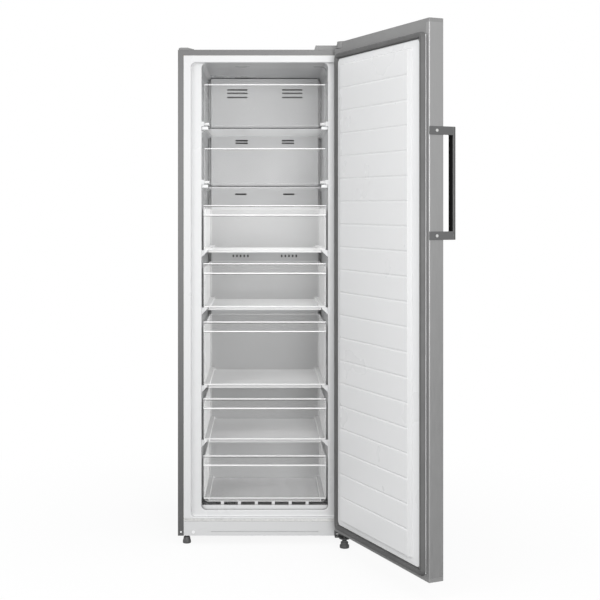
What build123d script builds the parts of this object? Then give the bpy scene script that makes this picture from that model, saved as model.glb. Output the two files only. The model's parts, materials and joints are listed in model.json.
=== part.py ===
from build123d import *
import os
from math import cos, pi, sin

# Upright no-frost freezer, shown with its door standing open.
# X runs to the viewer's right, Y runs into the cabinet, Z runs up from the floor.
# The origin is on the floor, under the middle of the cabinet's front edge.

# ---------------------------------------------------------------------------
# Driving dimensions, in millimetres
# ---------------------------------------------------------------------------

# Cabinet
cabinet_width = 595.0
cabinet_depth = 583.0
cabinet_top = 1693.0
base_height = 29.0
sheet = 1.0
shell_bend = 1.2
flange_width = 19.5
back_inset = 0.3

# Pressed fields of the back panel, one above the other
field_low = 330.0
field_split = 930.0
field_gap = 60.0
field_top_gap = 93.0
field_margin = 60.0
field_rise = 3.0
field_radius = 30.0

# Moulded inner liner
liner_wall = 2.0
rim_gap = 0.3
rim_bottom = 88.5
rim_corner = 4.0
recess_depth = 15.0
recess_floor = 92.5
recess_shoulder = 34.5
recess_radius = 14.0
side_wall = 80.0
top_wall = 44.0
back_wall = 55.0
cavity_floor = 113.0
cavity_radius = 16.0
floor_rise = 15.0
floor_rise_front = 24.0

# Rows of the cavity from the floor up, which share its height in these proportions:
# a gap and a drawer in turn, then the gap under the shelves and the two shelf spaces
row_heights = [
    27.0,
    160.0,
    44.0,
    152.0,
    36.0,
    228.5,
    39.5,
    161.0,
    37.0,
    163.0,
    67.0,
    200.0,
    221.0,
]

# Space for the compressor, low at the back
machine_depth = 161.0
machine_ceiling = 268.0
step_foam_front = 50.0
step_foam_top = 48.0
pan_sheet = 1.5
pan_side_gap = 0.2
air_slot_count = 6
air_slot_pitch = 26.0
air_slot_length = 34.0
air_slot_width = 8.0
air_slot_x = -30.0
air_slot_offset = 46.0

# Front rail and plinth
plinth_thickness = 3.0
plinth_top = 78.0
plinth_gap = 0.4
plinth_groove_height = 43.0
plinth_groove = 1.2
plinth_groove_margin = 95.0
plinth_screw_inset = 53.0
plinth_screw_z = 42.0
plinth_screw_head = 12.0
plug_height = 1.5
side_screw_inset = 10.5
side_screw_head = 6.5

# Rails and shelves inside the liner
rail_reach = 20.0
rail_height = 24.0
rail_nose = 4.0
rail_front_gap = 1.5
rail_back_gap = 10.0
floor_rib_width = 11.0
floor_rib_pitch = 58.4
floor_rib_count = 6
floor_rib_end_gap = 6.0
shelf_thickness = 4.0
shelf_side_gap = 3.5
shelf_front = 25.0
shelf_back_gap = 4.0
shelf_corner = 3.0
ledge_reach = 12.0
ledge_height = 12.0
clip_width = 22.0
clip_depth = 24.0
clip_wall = 3.0
clip_side_gap = 0.5

# Cold-air duct cover and what stands behind it
duct_side_gap = 11.5
duct_space = 50.0
duct_wall = 2.5
duct_top_gap = 2.5
duct_step_gap = 4.0
duct_brow = 8.0
duct_brow_reach = 3.0
duct_edge_gap = 1.0
slot_height = 6.0
top_slot_drops = [45.0, 58.0, 74.0]
top_slot_span = (66.0, 145.0)
middle_slot_drops = [19.0, 29.0]
middle_slot_span = (65.0, 113.0)
low_slot_drops = [25.0]
low_slot_span = (70.0, 114.0)
fan_slot_count = 5
fan_slot_first = 65.0
fan_slot_pitch = 14.0
fan_slot_length = 10.0
return_slot_count = 13
return_slot_pitch = 26.0
return_slot_length = 12.0
return_slot_rise = 13.0
fan_rise = 5.0
fan_radius = 52.0
fan_hub_radius = 18.0
fan_blades = 7
fan_length = 12.0
fan_set_forward = 14.0
blade_pitch = 32.0
blade_chord = 18.0
blade_thickness = 1.6
blade_root = 2.0
fan_shaft = 5.0
motor_radius = 26.0
motor_length = 18.0
motor_gap = 3.0
motor_arm_angles = [90.0, 210.0, 330.0]
motor_arm_reach = 58.0
motor_arm_width = 8.0
motor_arm_thickness = 4.0
motor_boss = 12.0
coil_passes = 9
coil_pitch = 30.0
coil_end_gap = 46.0
coil_tube = 8.0
coil_drop = 406.0
fin_count = 22
fin_thickness = 0.8
fin_margin = 14.0
fin_front_gap = 3.0
fin_fit = 0.1
heater_diameter = 10.0
heater_drop = 48.0
heater_end_gap = 56.0
heater_clip = 10.0
heater_clip_height = 18.0
drain_outer = 18.0
drain_inner = 14.0
drain_x = 120.0
drain_end = 206.0
drain_fit = 0.2
drain_flange = 26.0
drain_flange_thickness = 1.5

# Compressor and its neighbours
compressor_x = 120.0
compressor_radius = 68.0
compressor_height = 144.0
pump_heel = 22.0
pump_shoulder = 46.0
pump_seam_share = 0.45
pump_seam_width = 4.0
pump_seam_height = 5.0
pad_reach = 8.0
pad_height = 44.0
pad_low = 18.0
relay_margin = 2.0
relay_depth = 26.0
relay_corner = 4.0
stub_reach = 12.0
stub_length = 40.0
stub_wall = 1.5
stub_offset = 24.0
stub_heights = [92.0, 104.0]
grommet_height = 12.5
grommet_diameter = 26.0
grommet_spread_x = 150.0
grommet_spread_y = 96.0
grommet_neck = 18.2
grommet_neck_rise = 4.0
grommet_fit = 0.2
foot_plate_thickness = 3.0
foot_plate_margin = 34.0
foot_plate_corner = 12.0
tray_wall = 2.0
tray_height = 34.0
tray_width = 128.0
tray_depth = 112.0
tray_corner = 12.0
pipe_diameter = 6.5
pipe_bend = 18.0
pipe_turns = [4.0, -22.0]
drier_x = -62.0
drier_offset = 34.0
drier_low = 92.0
drier_end = 10.0
drier_neck = 9.1
drier_diameter = 19.0
drier_length = 95.0
capillary = 3.0
capillary_bend = 14.0
capillary_low = 60.0
capillary_loop = 46.0
box_wall = 2.0
box_width = 130.0
box_depth = 92.0
box_height = 118.0
box_side_gap = 8.0
box_back_gap = 6.0
box_corner = 5.0
box_vent_count = 9
box_vent_pitch = 9.0
box_vent_length = 50.0
box_vent_width = 4.0
board_set_back = 14.0
board_thickness = 1.6
board_margin = 8.0
board_foot_width = 6.0
board_foot_height = 16.0
board_foot_inset = 18.0
gland_rise = 34.0
gland_fit = 0.2
gland_flange_thickness = 3.0
gland_bore = 8.0
gland_neck = 15.0
gland_flange = 22.0

# Condenser tube against the inside of each side sheet
condenser_tube = 4.8
condenser_runs = 8
condenser_pitch = 56.0
condenser_low = 360.0
condenser_top_gap = 133.0
pocket_gap = 0.5

# Door, given in its closed place
door_bottom = 53.5
door_rise = 17.5
door_thickness = 50.0
door_gap = 14.0
door_skin_bend = 3.0
door_return = 16.5
door_open_angle = 114.3
cap_height = 12.0
cap_flange = 2.0
hinge_from_edge = 27.5
hinge_from_face = 24.5
hinge_pin = 10.0
hinge_fit = 0.05
corner_cut_length = 60.0
corner_cut_depth = 20.5
bush_diameter = 22.0
bush_length = 22.0
bush_floor = 3.0
gasket_width = 20.0
gasket_thickness = 13.0
gasket_chamfer = 4.0
gasket_top_inset = 37.0
gasket_bottom_inset = 11.5
gasket_inset = 19.0
gasket_corner = 20.0
door_frame_rise = 8.0
door_frame_radius = 16.0
door_frame_gap = 1.0
door_liner_wall = 2.5
plateau_rise = 16.0
plateau_top_inset = 43.5
plateau_bottom_inset = 42.5
plateau_slope = 16.0
ridge_count = 19
ridge_top_gap = 80.0
ridge_bottom_gap = 84.4
ridge_end_gap = 5.5
ridge_depth = 1.6
ridge_height = 9.0

# Hinges
hinge_plate = 3.0
hinge_plate_reach = 74.0
hinge_plate_near = 6.0
hinge_plate_far = 74.0
hinge_plate_side_gap = 3.0
hinge_arm = 40.0
hinge_screw_margin = 12.0
hinge_screw_row = 20.0
pin_reach = 16.0
pin_head = 15.0
pin_head_height = 3.0
pin_collar = 18.0
collar_gap = 0.1
hinge_cover_wall = 1.5
hinge_cover_reach = 123.5
hinge_cover_rise = 15.0
knuckle_rise = 21.0
knuckle_radius = 25.0
cover_near = 3.0
cover_far = 92.0
cover_side_gap = 0.5
cover_drop = 1.5
cover_door_gap = 1.0
blank_cover_width = 53.0
blank_cover_height = 8.0
blank_side_gap = 2.5
blank_slope = 22.0
blank_bevel = 6.0
blank_edge = 2.0
bracket_span = 59.5
bracket_low = 30.5
bracket_high = 48.0
bracket_plate = 3.0
bracket_ear = 18.0
bracket_neck = 8.0
bracket_side_gap = 2.5
bracket_screws = [10.0, 48.0]
screw_head = 9.0
screw_head_height = 2.5
screw_shank = 4.0

# Handle
handle_bottom = 1058.0
handle_top = 1392.5
handle_bar_width = 25.0
handle_bar_thickness = 9.0
handle_corner = 1.5
handle_standoff = 40.0
handle_bracket_height = 25.0
handle_bracket_thickness = 3.0
handle_tab_setback = 3.0
handle_screw_head_height = 1.5

# Drawers
drawer_side_gap = 6.5
basket_back_gap = 23.5
low_basket_gap = 11.5
front_face = 24.0
front_wall = 2.5
front_corner = 18.0
low_rib_rise = 11.0
low_rib_height = 2.0
low_rib_reach = 1.5
grip_height = 36.0
grip_reach = 10.5
basket_wall = 2.0
basket_corner = 8.0
basket_side_gap = 8.0
basket_drop = 14.0
keel_clearance = 4.0
rail_rise = 8.0
run_clearance = 0.4

# Flaps in front of the two shelves' spaces
flap_heights = [149.0, 129.0]
flap_lift = 6.0
flap_pivot_lift = 6.0
flap_wall = 3.0
flap_depth = 21.0
flap_side_gap = 10.0
flap_pin = 5.0
flap_boss = 8.0
flap_boss_length = 16.0
flap_end_gap = 1.5
flap_lip_length = 268.0
flap_lip_reach = 6.0
post_height = 16.0
post_depth = 12.0
post_gap = 1.5
post_set_back = 0.5
post_floor = 1.0

# Feet and rollers
foot_stud = 8.0
foot_fit = 0.05
left_foot_inset = 29.5
left_foot_y = 20.0
left_foot_diameter = 28.0
left_foot_height = 22.0
left_foot_pad = 8.0
left_foot_neck = 21.0
right_foot_diameters = [32.0, 25.6, 16.0]
right_foot_tiers = [10.0, 10.0, 6.0]
foot_top_gap = 2.0
weld_nut = 16.0
weld_nut_height = 8.0
stud_room = 6.0
stud_end = 3.0
roller_radius = 15.0
roller_width = 18.0
roller_inset = 47.5
roller_back_inset = 35.0
axle_diameter = 6.0
roller_ear = 2.0
roller_ear_length = 28.0
roller_ear_drop = 7.0
roller_opening_gap = 2.0
axle_fit = 0.05
roller_side_gap = 1.0

# How far a cut runs past the face that it opens
cut_over = 1.0

# ---------------------------------------------------------------------------
# Places that follow from the sizes above
# ---------------------------------------------------------------------------
half_width = cabinet_width / 2
inside_half = half_width - sheet
flange_inner = half_width - flange_width
flange_under = cabinet_top - flange_width
rim_half = flange_inner - rim_gap
rim_top = flange_under - rim_gap
cavity_width = cabinet_width - 2 * side_wall
cavity_half = cavity_width / 2
cavity_ceiling = cabinet_top - top_wall
cavity_back = cabinet_depth - back_wall
raised_floor = cavity_floor + floor_rise
recess_half = cavity_half + recess_shoulder
back_face = cabinet_depth - sheet
machine_front = cabinet_depth - machine_depth
step_front = machine_front - step_foam_front
step_top = machine_ceiling + step_foam_top
pan_top = base_height + pan_sheet
machine_middle = machine_front + machine_depth / 2
field_spans = [
    (field_low, field_split - field_gap / 2),
    (field_split + field_gap / 2, cabinet_top - field_top_gap),
]
condenser_high = cabinet_top - condenser_top_gap
plinth_screw_x = half_width - plinth_screw_inset
side_screw_x = half_width - side_screw_inset
left_foot_x = -half_width + left_foot_inset
roller_x = half_width - roller_inset
roller_y = cabinet_depth - roller_back_inset

# the rows' upper edges, from the first gap up to the ceiling
row_stretch = (cavity_ceiling - cavity_floor) / sum(row_heights)
row_levels = [
    cavity_floor + row_stretch * sum(row_heights[: i + 1]) for i in range(len(row_heights))
]
# drawers and shelves are listed from the top one down
drawer_bottoms = row_levels[8::-2]
drawer_tops = row_levels[9:0:-2]
shelf_tops = [row_levels[11], row_levels[10]]
flap_tops = [top + row_stretch * height for top, height in zip(shelf_tops, flap_heights)]

door_height = cabinet_top + door_rise - door_bottom
pin_x = half_width - hinge_from_edge
pin_y = -door_gap - hinge_from_face
door_inner = -door_gap
door_outer = door_inner - door_thickness
door_top = door_bottom + door_height
skin_bottom = door_bottom + cap_height
skin_top = door_top - cap_height
corner_left = half_width - corner_cut_length
corner_cut_top = door_top - corner_cut_depth
corner_under = corner_cut_top - cap_height
gasket_top = door_top - gasket_top_inset
gasket_bottom = door_bottom + gasket_bottom_inset
gasket_outer_half = half_width - gasket_inset
gasket_inner_half = gasket_outer_half - gasket_width
door_frame_half = gasket_inner_half - door_frame_gap
return_half = half_width - door_return
plateau_width = cavity_width
plateau_top = gasket_top - plateau_top_inset
plateau_bottom = gasket_bottom + plateau_bottom_inset
ridge_length = plateau_width - 2 * ridge_end_gap
ridge_top = plateau_top - ridge_top_gap
ridge_pitch = (ridge_top - plateau_bottom - ridge_bottom_gap) / (ridge_count - 1)
hinge_cover_left = half_width - hinge_cover_reach
hinge_cover_top = cabinet_top + hinge_cover_rise
knuckle_top = cabinet_top + knuckle_rise
bracket_left = half_width - bracket_span

duct_half = cavity_half - duct_side_gap
duct_front = cavity_back - duct_space
duct_top = cavity_ceiling - duct_top_gap
duct_bottom = step_top + duct_step_gap
return_slot_height = duct_bottom + return_slot_rise
fan_height = drawer_tops[1] + fan_rise
coil_bottom = fan_height - coil_drop
coil_half_length = duct_half - coil_end_gap
heater_half_length = duct_half - heater_end_gap
coil_y = duct_front + duct_wall + (cavity_back - duct_front - duct_wall) / 2
coil_top = coil_bottom + (coil_passes - 1) * coil_pitch

drawer_half = cavity_half - drawer_side_gap
basket_half = cavity_half - basket_side_gap
keel_half = cavity_half - rail_reach - keel_clearance
front_back = front_face + front_wall
rail_front = front_back + rail_front_gap
rail_back = duct_front - rail_back_gap
shelf_back = duct_front - shelf_back_gap
full_basket = duct_front - basket_back_gap - front_back
low_basket = step_front - low_basket_gap - front_back
basket_depths = [full_basket] * (len(drawer_bottoms) - 1) + [low_basket]

os.makedirs("parts", exist_ok=True)


# ---------------------------------------------------------------------------
# Planes and small helpers
# ---------------------------------------------------------------------------
def front(y):
    """An upright plane facing the viewer at depth y: sketch X is X, sketch Y is Z."""
    return Plane.XZ.offset(-y)


def level(z):
    """A horizontal plane at height z."""
    return Plane.XY.offset(z)


def side(x):
    """An upright plane square to X: sketch X is Y, sketch Y is Z."""
    return Plane.YZ.offset(x)


door_swing = Pos(pin_x, pin_y, 0) * Rot(0, 0, door_open_angle) * Pos(-pin_x, -pin_y, 0)


def swung(plane):
    """A plane given for the closed door, turned with the door about its hinge."""
    return Plane(door_swing * plane.location)


def between(x0, x1, y0, y1, radius=0.0, mode=Mode.ADD):
    """A rectangle from one corner to the other, in the open sketch."""
    with Locations(((x0 + x1) / 2, (y0 + y1) / 2)):
        if radius > 0:
            RectangleRounded(x1 - x0, y1 - y0, radius, mode=mode)
        else:
            Rectangle(x1 - x0, y1 - y0, mode=mode)


def slab(plane, x0, x1, y0, y1, thick, radius=0.0, mode=Mode.ADD):
    """A plate in the open part, drawn on a plane and thickened along its normal."""
    with BuildSketch(plane) as outline:
        between(x0, x1, y0, y1, radius)
    extrude(outline.sketch, amount=thick, mode=mode)


def rod(plane, x, y, diameter, length, mode=Mode.ADD):
    """A round bar or a round hole in the open part."""
    with BuildSketch(plane) as outline:
        with Locations((x, y)):
            Circle(diameter / 2)
    extrude(outline.sketch, amount=length, mode=mode)


def prism(plane, points, thick, mode=Mode.ADD):
    """A bar in the open part, with an outline of straight sides."""
    with BuildSketch(plane) as outline:
        with BuildLine():
            Polyline(*points, close=True)
        make_face()
    extrude(outline.sketch, amount=thick, mode=mode)


def tube(points, diameter, bend):
    """A round pipe along straight runs joined by bends, in the open part."""
    with BuildLine() as route:
        FilletPolyline(*points, radius=bend)
    with BuildSketch(Plane(origin=route.line @ 0, z_dir=route.line % 0)) as section:
        Circle(diameter / 2)
    sweep(section.sketch, path=route.line)


def save(part, name):
    """Name a finished piece and write it."""
    part.label = name
    export_step(part, "parts/" + name + ".step")


# ---------------------------------------------------------------------------
# Screws: where they are, and how they are made
# ---------------------------------------------------------------------------
top_hinge_screws = [
    (pin_x - hinge_plate_reach + hinge_screw_margin, hinge_screw_row),
    (pin_x - hinge_plate_reach + hinge_screw_margin, hinge_plate_far - hinge_screw_margin),
    (pin_x - hinge_screw_row, hinge_plate_far - hinge_screw_margin),
]
bottom_hinge_screws = [
    (bracket_left + step, (bracket_low + bracket_high) / 2) for step in bracket_screws
]


def pan_head(plane, x, y, grip):
    """A pan-head screw standing on a plane, with its shank reaching down through the grip."""
    rod(plane, x, y, screw_head, screw_head_height)
    rod(plane, x, y, screw_shank, -grip)


# ---------------------------------------------------------------------------
# Cabinet shell and back
# ---------------------------------------------------------------------------
with BuildPart() as cabinet_shell:
    with BuildSketch(front(0)):
        between(-half_width, half_width, base_height, cabinet_top)
        between(-inside_half, inside_half, base_height, cabinet_top - sheet, mode=Mode.SUBTRACT)
    extrude(amount=-cabinet_depth)
    with BuildSketch(front(0)):
        between(-half_width, half_width, base_height, cabinet_top)
        between(-flange_inner, flange_inner, base_height, flange_under, mode=Mode.SUBTRACT)
    extrude(amount=-sheet)
    fillet(
        cabinet_shell.edges().filter_by(Axis.Y).group_by(Axis.Z)[-1].sort_by(Axis.X)[::3],
        shell_bend,
    )
    for x, y in top_hinge_screws:
        rod(level(cabinet_top), x, y, screw_shank, -sheet, mode=Mode.SUBTRACT)
    for x, z in [(-side_screw_x, plinth_screw_z), bottom_hinge_screws[1]]:
        rod(front(0), x, z, screw_shank, -sheet, mode=Mode.SUBTRACT)
save(cabinet_shell.part, "cabinet_shell")

with BuildPart() as back_panel:
    slab(
        front(back_face),
        -inside_half + back_inset,
        inside_half - back_inset,
        machine_ceiling + pan_sheet,
        cabinet_top - sheet - back_inset,
        -sheet,
    )
    # pressed stiffening panels, raised outwards
    field_half = inside_half - field_margin
    for low, high in field_spans:
        slab(
            front(cabinet_depth),
            -field_half,
            field_half,
            low,
            high,
            -field_rise,
            radius=field_radius,
        )
        slab(
            front(back_face),
            -field_half + 2 * sheet,
            field_half - 2 * sheet,
            low + 2 * sheet,
            high - 2 * sheet,
            -field_rise,
            radius=field_radius - 2 * sheet,
            mode=Mode.SUBTRACT,
        )
save(back_panel.part, "back_panel")


# ---------------------------------------------------------------------------
# Cold space, liner and foam
# ---------------------------------------------------------------------------
def cold_space(grow):
    """The front recess and the tall cavity as one solid, with its walls moved out by grow."""
    with BuildPart() as space:
        slab(
            front(0),
            -recess_half - grow,
            recess_half + grow,
            recess_floor - grow,
            cavity_ceiling + grow,
            -(recess_depth + grow),
            radius=recess_radius + grow,
        )
        slab(
            front(0),
            -cavity_half - grow,
            cavity_half + grow,
            cavity_floor - grow,
            cavity_ceiling + grow,
            -(cavity_back + grow),
            radius=cavity_radius + grow,
        )
        # the floor rises behind the mouth, close under the lowest drawer
        slab(
            side(-cavity_half - 2 * grow),
            floor_rise_front + grow,
            cabinet_depth,
            0,
            raised_floor - grow,
            cavity_width + 4 * grow,
            mode=Mode.SUBTRACT,
        )
        # the step over the machine space
        slab(
            side(-cavity_half - 2 * grow),
            step_front + grow,
            cabinet_depth,
            0,
            step_top - grow,
            cavity_width + 4 * grow,
            mode=Mode.SUBTRACT,
        )
    return space.part


cold_inside = cold_space(0)
cold_outside = cold_space(liner_wall)

flap_pivots = [top + flap_lift + flap_pivot_lift for top in shelf_tops]
rib_length = step_front - rail_front - floor_rib_end_gap

with BuildPart() as inner_liner:
    slab(front(0), -rim_half, rim_half, rim_bottom, rim_top, -liner_wall, radius=rim_corner)
    add(cold_outside)
    add(cold_inside, mode=Mode.SUBTRACT)
    # moulded rails that carry the four upper drawers
    for bottom in drawer_bottoms[:-1]:
        top = bottom + rail_rise
        for s in (-1, 1):
            prism(
                front(rail_front),
                [
                    (s * cavity_half, top),
                    (s * (cavity_half - rail_reach), top),
                    (s * (cavity_half - rail_reach), top - rail_nose),
                    (s * cavity_half, top - rail_height),
                ],
                -(rail_back - rail_front),
            )
    # ledges under the glass shelves, behind the front clips
    for top in shelf_tops:
        under = top - shelf_thickness
        for s in (-1, 1):
            prism(
                front(shelf_front + clip_depth),
                [
                    (s * cavity_half, under),
                    (s * (cavity_half - ledge_reach), under),
                    (s * cavity_half, under - ledge_height),
                ],
                -(shelf_back - shelf_front - clip_depth),
            )
    # posts that take the flaps' pivot pins
    post_inner = cavity_half - flap_side_gap + post_gap
    for z in flap_pivots:
        for s in (-1, 1):
            slab(
                side(s * post_inner),
                flap_depth - post_depth / 2 + post_set_back,
                flap_depth + post_depth / 2 + post_set_back,
                z - post_height / 2,
                z + post_height / 2,
                s * (cavity_half - post_inner),
            )
            rod(
                side(s * post_inner),
                flap_depth,
                z,
                flap_pin + 2 * hinge_fit,
                s * (cavity_half - post_inner - post_floor),
                mode=Mode.SUBTRACT,
            )
    # ribs on the floor, which carry the lowest drawer
    for i in range(floor_rib_count):
        x = (i - (floor_rib_count - 1) / 2) * floor_rib_pitch
        slab(
            front(rail_front),
            x - floor_rib_width / 2,
            x + floor_rib_width / 2,
            raised_floor,
            drawer_bottoms[-1] - run_clearance,
            -rib_length,
        )
    # drain outlet behind the duct cover
    rod(level(step_top), drain_x, coil_y, drain_outer, -liner_wall, mode=Mode.SUBTRACT)
save(inner_liner.part, "inner_liner")

# ---------------------------------------------------------------------------
# Insulation
# ---------------------------------------------------------------------------
condenser_span = (condenser_runs - 1) * condenser_pitch
condenser_first_y = (cabinet_depth - condenser_span) / 2
pocket_margin = condenser_pitch / 2 + condenser_tube

with BuildPart() as insulation_foam:
    slab(
        front(sheet),
        -inside_half,
        inside_half,
        pan_top,
        cabinet_top - sheet,
        -(back_face - sheet),
    )
    slab(front(0), -rim_half, rim_half, rim_bottom, rim_top, -liner_wall, mode=Mode.SUBTRACT)
    slab(
        side(-half_width),
        0,
        plinth_thickness + pan_sheet,
        0,
        rim_bottom,
        cabinet_width,
        mode=Mode.SUBTRACT,
    )
    slab(
        side(-half_width),
        machine_front - pan_sheet,
        cabinet_depth,
        0,
        machine_ceiling + pan_sheet,
        cabinet_width,
        mode=Mode.SUBTRACT,
    )
    add(cold_outside, mode=Mode.SUBTRACT)
    # shallow pockets for the condenser tubes
    for s in (-1, 1):
        slab(
            side(s * inside_half),
            condenser_first_y - condenser_tube,
            condenser_first_y + condenser_span + condenser_tube,
            condenser_low - pocket_margin,
            condenser_high + pocket_margin,
            -s * (condenser_tube + pocket_gap),
            mode=Mode.SUBTRACT,
        )
    # drain tube and the left foot's thread
    rod(level(0), drain_x, coil_y, drain_outer, step_top, mode=Mode.SUBTRACT)
    rod(
        level(0),
        left_foot_x,
        left_foot_y,
        weld_nut,
        pan_top + weld_nut_height + stud_room,
        mode=Mode.SUBTRACT,
    )
save(insulation_foam.part, "insulation_foam")


# ---------------------------------------------------------------------------
# Condenser tubes, one serpentine inside each side sheet
# ---------------------------------------------------------------------------
def serpentine(plane, first, step, low, high, runs):
    """A wire on a plane: runs side by side along the plane's Y, joined by half turns."""
    with BuildLine(plane) as route:
        for i in range(runs):
            u = first + i * step
            start, end = (low, high) if i % 2 == 0 else (high, low)
            Line((u, start), (u, end))
            if i < runs - 1:
                bulge = step / 2 if i % 2 == 0 else -step / 2
                ThreePointArc((u, end), (u + step / 2, end + bulge), (u + step, end))
    return route.line


with BuildPart() as condenser_tubes:
    for s in (-1, 1):
        wall_plane = side(s * (inside_half - condenser_tube / 2))
        wire = serpentine(
            wall_plane,
            condenser_first_y,
            condenser_pitch,
            condenser_low,
            condenser_high,
            condenser_runs,
        )
        with BuildSketch(Plane(origin=wire @ 0, z_dir=wire % 0)) as section:
            Circle(condenser_tube / 2)
        sweep(section.sketch, path=wire)
save(condenser_tubes.part, "condenser_tubes")


# ---------------------------------------------------------------------------
# Base pan, plinth and their screws
# ---------------------------------------------------------------------------
pan_half = inside_half - pan_side_gap
ear_low = roller_radius - roller_ear_drop
ear_inner = roller_width / 2 + roller_side_gap

with BuildPart() as base_pan:
    left_plane = side(-pan_half)
    pan_span = 2 * pan_half
    # bottom plate
    slab(left_plane, plinth_thickness, back_face, base_height, pan_top, pan_span)
    # upstand behind the plinth, jogged forward to the front rail
    slab(
        left_plane,
        plinth_thickness,
        plinth_thickness + pan_sheet,
        pan_top,
        rim_bottom - rim_gap,
        pan_span,
    )
    slab(
        side(-rim_half),
        0,
        plinth_thickness + pan_sheet,
        plinth_top + plinth_gap,
        plinth_top + plinth_gap + pan_sheet,
        2 * rim_half,
    )
    slab(
        side(-rim_half),
        0,
        pan_sheet,
        plinth_top + plinth_gap,
        rim_bottom - rim_gap,
        2 * rim_half,
    )
    # front wall and roof of the machine space
    slab(
        left_plane,
        machine_front - pan_sheet,
        machine_front,
        pan_top,
        machine_ceiling + pan_sheet,
        pan_span,
    )
    slab(
        left_plane,
        machine_front,
        back_face,
        machine_ceiling,
        machine_ceiling + pan_sheet,
        pan_span,
    )
    # thread for the left foot
    rod(level(pan_top), left_foot_x, left_foot_y, weld_nut, weld_nut_height)
    rod(
        level(base_height),
        left_foot_x,
        left_foot_y,
        foot_stud + 2 * foot_fit,
        pan_sheet + weld_nut_height,
        mode=Mode.SUBTRACT,
    )
    # ears that hold the rear rollers
    for s in (-1, 1):
        for e in (-1, 1):
            ear_x = s * roller_x + e * (ear_inner + roller_ear / 2)
            slab(
                side(ear_x - roller_ear / 2),
                roller_y - roller_ear_length / 2,
                roller_y + roller_ear_length / 2,
                ear_low,
                base_height,
                roller_ear,
            )
            rod(
                side(ear_x - roller_ear / 2),
                roller_y,
                roller_radius,
                axle_diameter,
                roller_ear,
                mode=Mode.SUBTRACT,
            )
        # opening above the roller
        slab(
            level(base_height),
            s * roller_x - roller_width / 2 - roller_side_gap,
            s * roller_x + roller_width / 2 + roller_side_gap,
            roller_y - roller_radius - roller_opening_gap,
            roller_y + roller_radius + roller_opening_gap,
            pan_sheet,
            mode=Mode.SUBTRACT,
        )
    rod(
        level(machine_ceiling),
        drain_x,
        coil_y,
        drain_outer,
        pan_sheet,
        mode=Mode.SUBTRACT,
    )
    for x, z in [(-plinth_screw_x, plinth_screw_z), *bottom_hinge_screws]:
        rod(front(plinth_thickness), x, z, screw_shank, -pan_sheet, mode=Mode.SUBTRACT)
    # air slots in the bottom plate, under the compressor
    with BuildSketch(level(base_height)) as air_slots:
        with GridLocations(air_slot_pitch, 0, air_slot_count, 1):
            with Locations((air_slot_x, machine_middle + air_slot_offset)):
                SlotOverall(air_slot_length, air_slot_width, rotation=90)
    extrude(air_slots.sketch, amount=pan_sheet, mode=Mode.SUBTRACT)
save(base_pan.part, "base_pan")

with BuildPart() as plinth_panel:
    slab(
        front(0),
        -rim_half,
        rim_half,
        base_height + plinth_gap,
        plinth_top,
        -plinth_thickness,
    )
    groove_half = rim_half - plinth_groove_margin
    slab(
        front(0),
        -groove_half,
        groove_half,
        plinth_groove_height - plinth_groove,
        plinth_groove_height + plinth_groove,
        -plinth_thickness / 2,
        mode=Mode.SUBTRACT,
    )
    for x, z in [(-plinth_screw_x, plinth_screw_z), bottom_hinge_screws[0]]:
        rod(front(0), x, z, screw_shank, -plinth_thickness, mode=Mode.SUBTRACT)
save(plinth_panel.part, "plinth_panel")

# the hinge bracket's own screws take the place of these on the right
with BuildPart() as plinth_screws:
    rod(front(0), -plinth_screw_x, plinth_screw_z, plinth_screw_head, plug_height)
    rod(
        front(0),
        -plinth_screw_x,
        plinth_screw_z,
        screw_shank,
        -(plinth_thickness + pan_sheet),
    )
    rod(front(0), -side_screw_x, plinth_screw_z, side_screw_head, plug_height)
    rod(front(0), -side_screw_x, plinth_screw_z, screw_shank, -sheet)
save(plinth_screws.part, "plinth_screws")


# ---------------------------------------------------------------------------
# Duct cover, evaporator, heater, fan and drain
# ---------------------------------------------------------------------------
def slot_row(x_inner, x_outer, z, height):
    """One air slot on each side of the duct cover's middle."""
    for s in (-1, 1):
        with BuildSketch(front(duct_front)) as opening:
            with Locations((s * (x_inner + x_outer) / 2, z)):
                SlotOverall(x_outer - x_inner, height)
        extrude(opening.sketch, amount=-duct_wall, mode=Mode.SUBTRACT)


with BuildPart() as air_duct_cover:
    slab(
        front(duct_front),
        -duct_half,
        duct_half,
        duct_bottom,
        duct_top,
        -(cavity_back - duct_front),
    )
    slab(
        front(duct_front + duct_wall),
        -duct_half + duct_wall,
        duct_half - duct_wall,
        duct_bottom - duct_edge_gap,
        duct_top - duct_wall,
        -(cavity_back - duct_front),
        mode=Mode.SUBTRACT,
    )
    # brow along the top edge
    slab(
        front(duct_front),
        -duct_half,
        duct_half,
        duct_top - duct_brow,
        duct_top,
        duct_brow_reach,
    )
    for level_above, drops, span in (
        (cavity_ceiling, top_slot_drops, top_slot_span),
        (shelf_tops[0], middle_slot_drops, middle_slot_span),
        (shelf_tops[1], low_slot_drops, low_slot_span),
    ):
        for drop in drops:
            slot_row(*span, level_above - drop, slot_height)
    # upright slots at the fan's height
    for s in (-1, 1):
        for i in range(fan_slot_count):
            with BuildSketch(front(duct_front)) as opening:
                with Locations((s * (fan_slot_first + fan_slot_pitch * i), fan_height)):
                    SlotOverall(fan_slot_length, slot_height, rotation=90)
            extrude(opening.sketch, amount=-duct_wall, mode=Mode.SUBTRACT)
    # return slots above the step
    for i in range(return_slot_count):
        x = (i - (return_slot_count - 1) / 2) * return_slot_pitch
        with BuildSketch(front(duct_front)) as opening:
            with Locations((x, return_slot_height)):
                SlotOverall(return_slot_length, slot_height, rotation=90)
        extrude(opening.sketch, amount=-duct_wall, mode=Mode.SUBTRACT)
save(air_duct_cover.part, "air_duct_cover")

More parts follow.
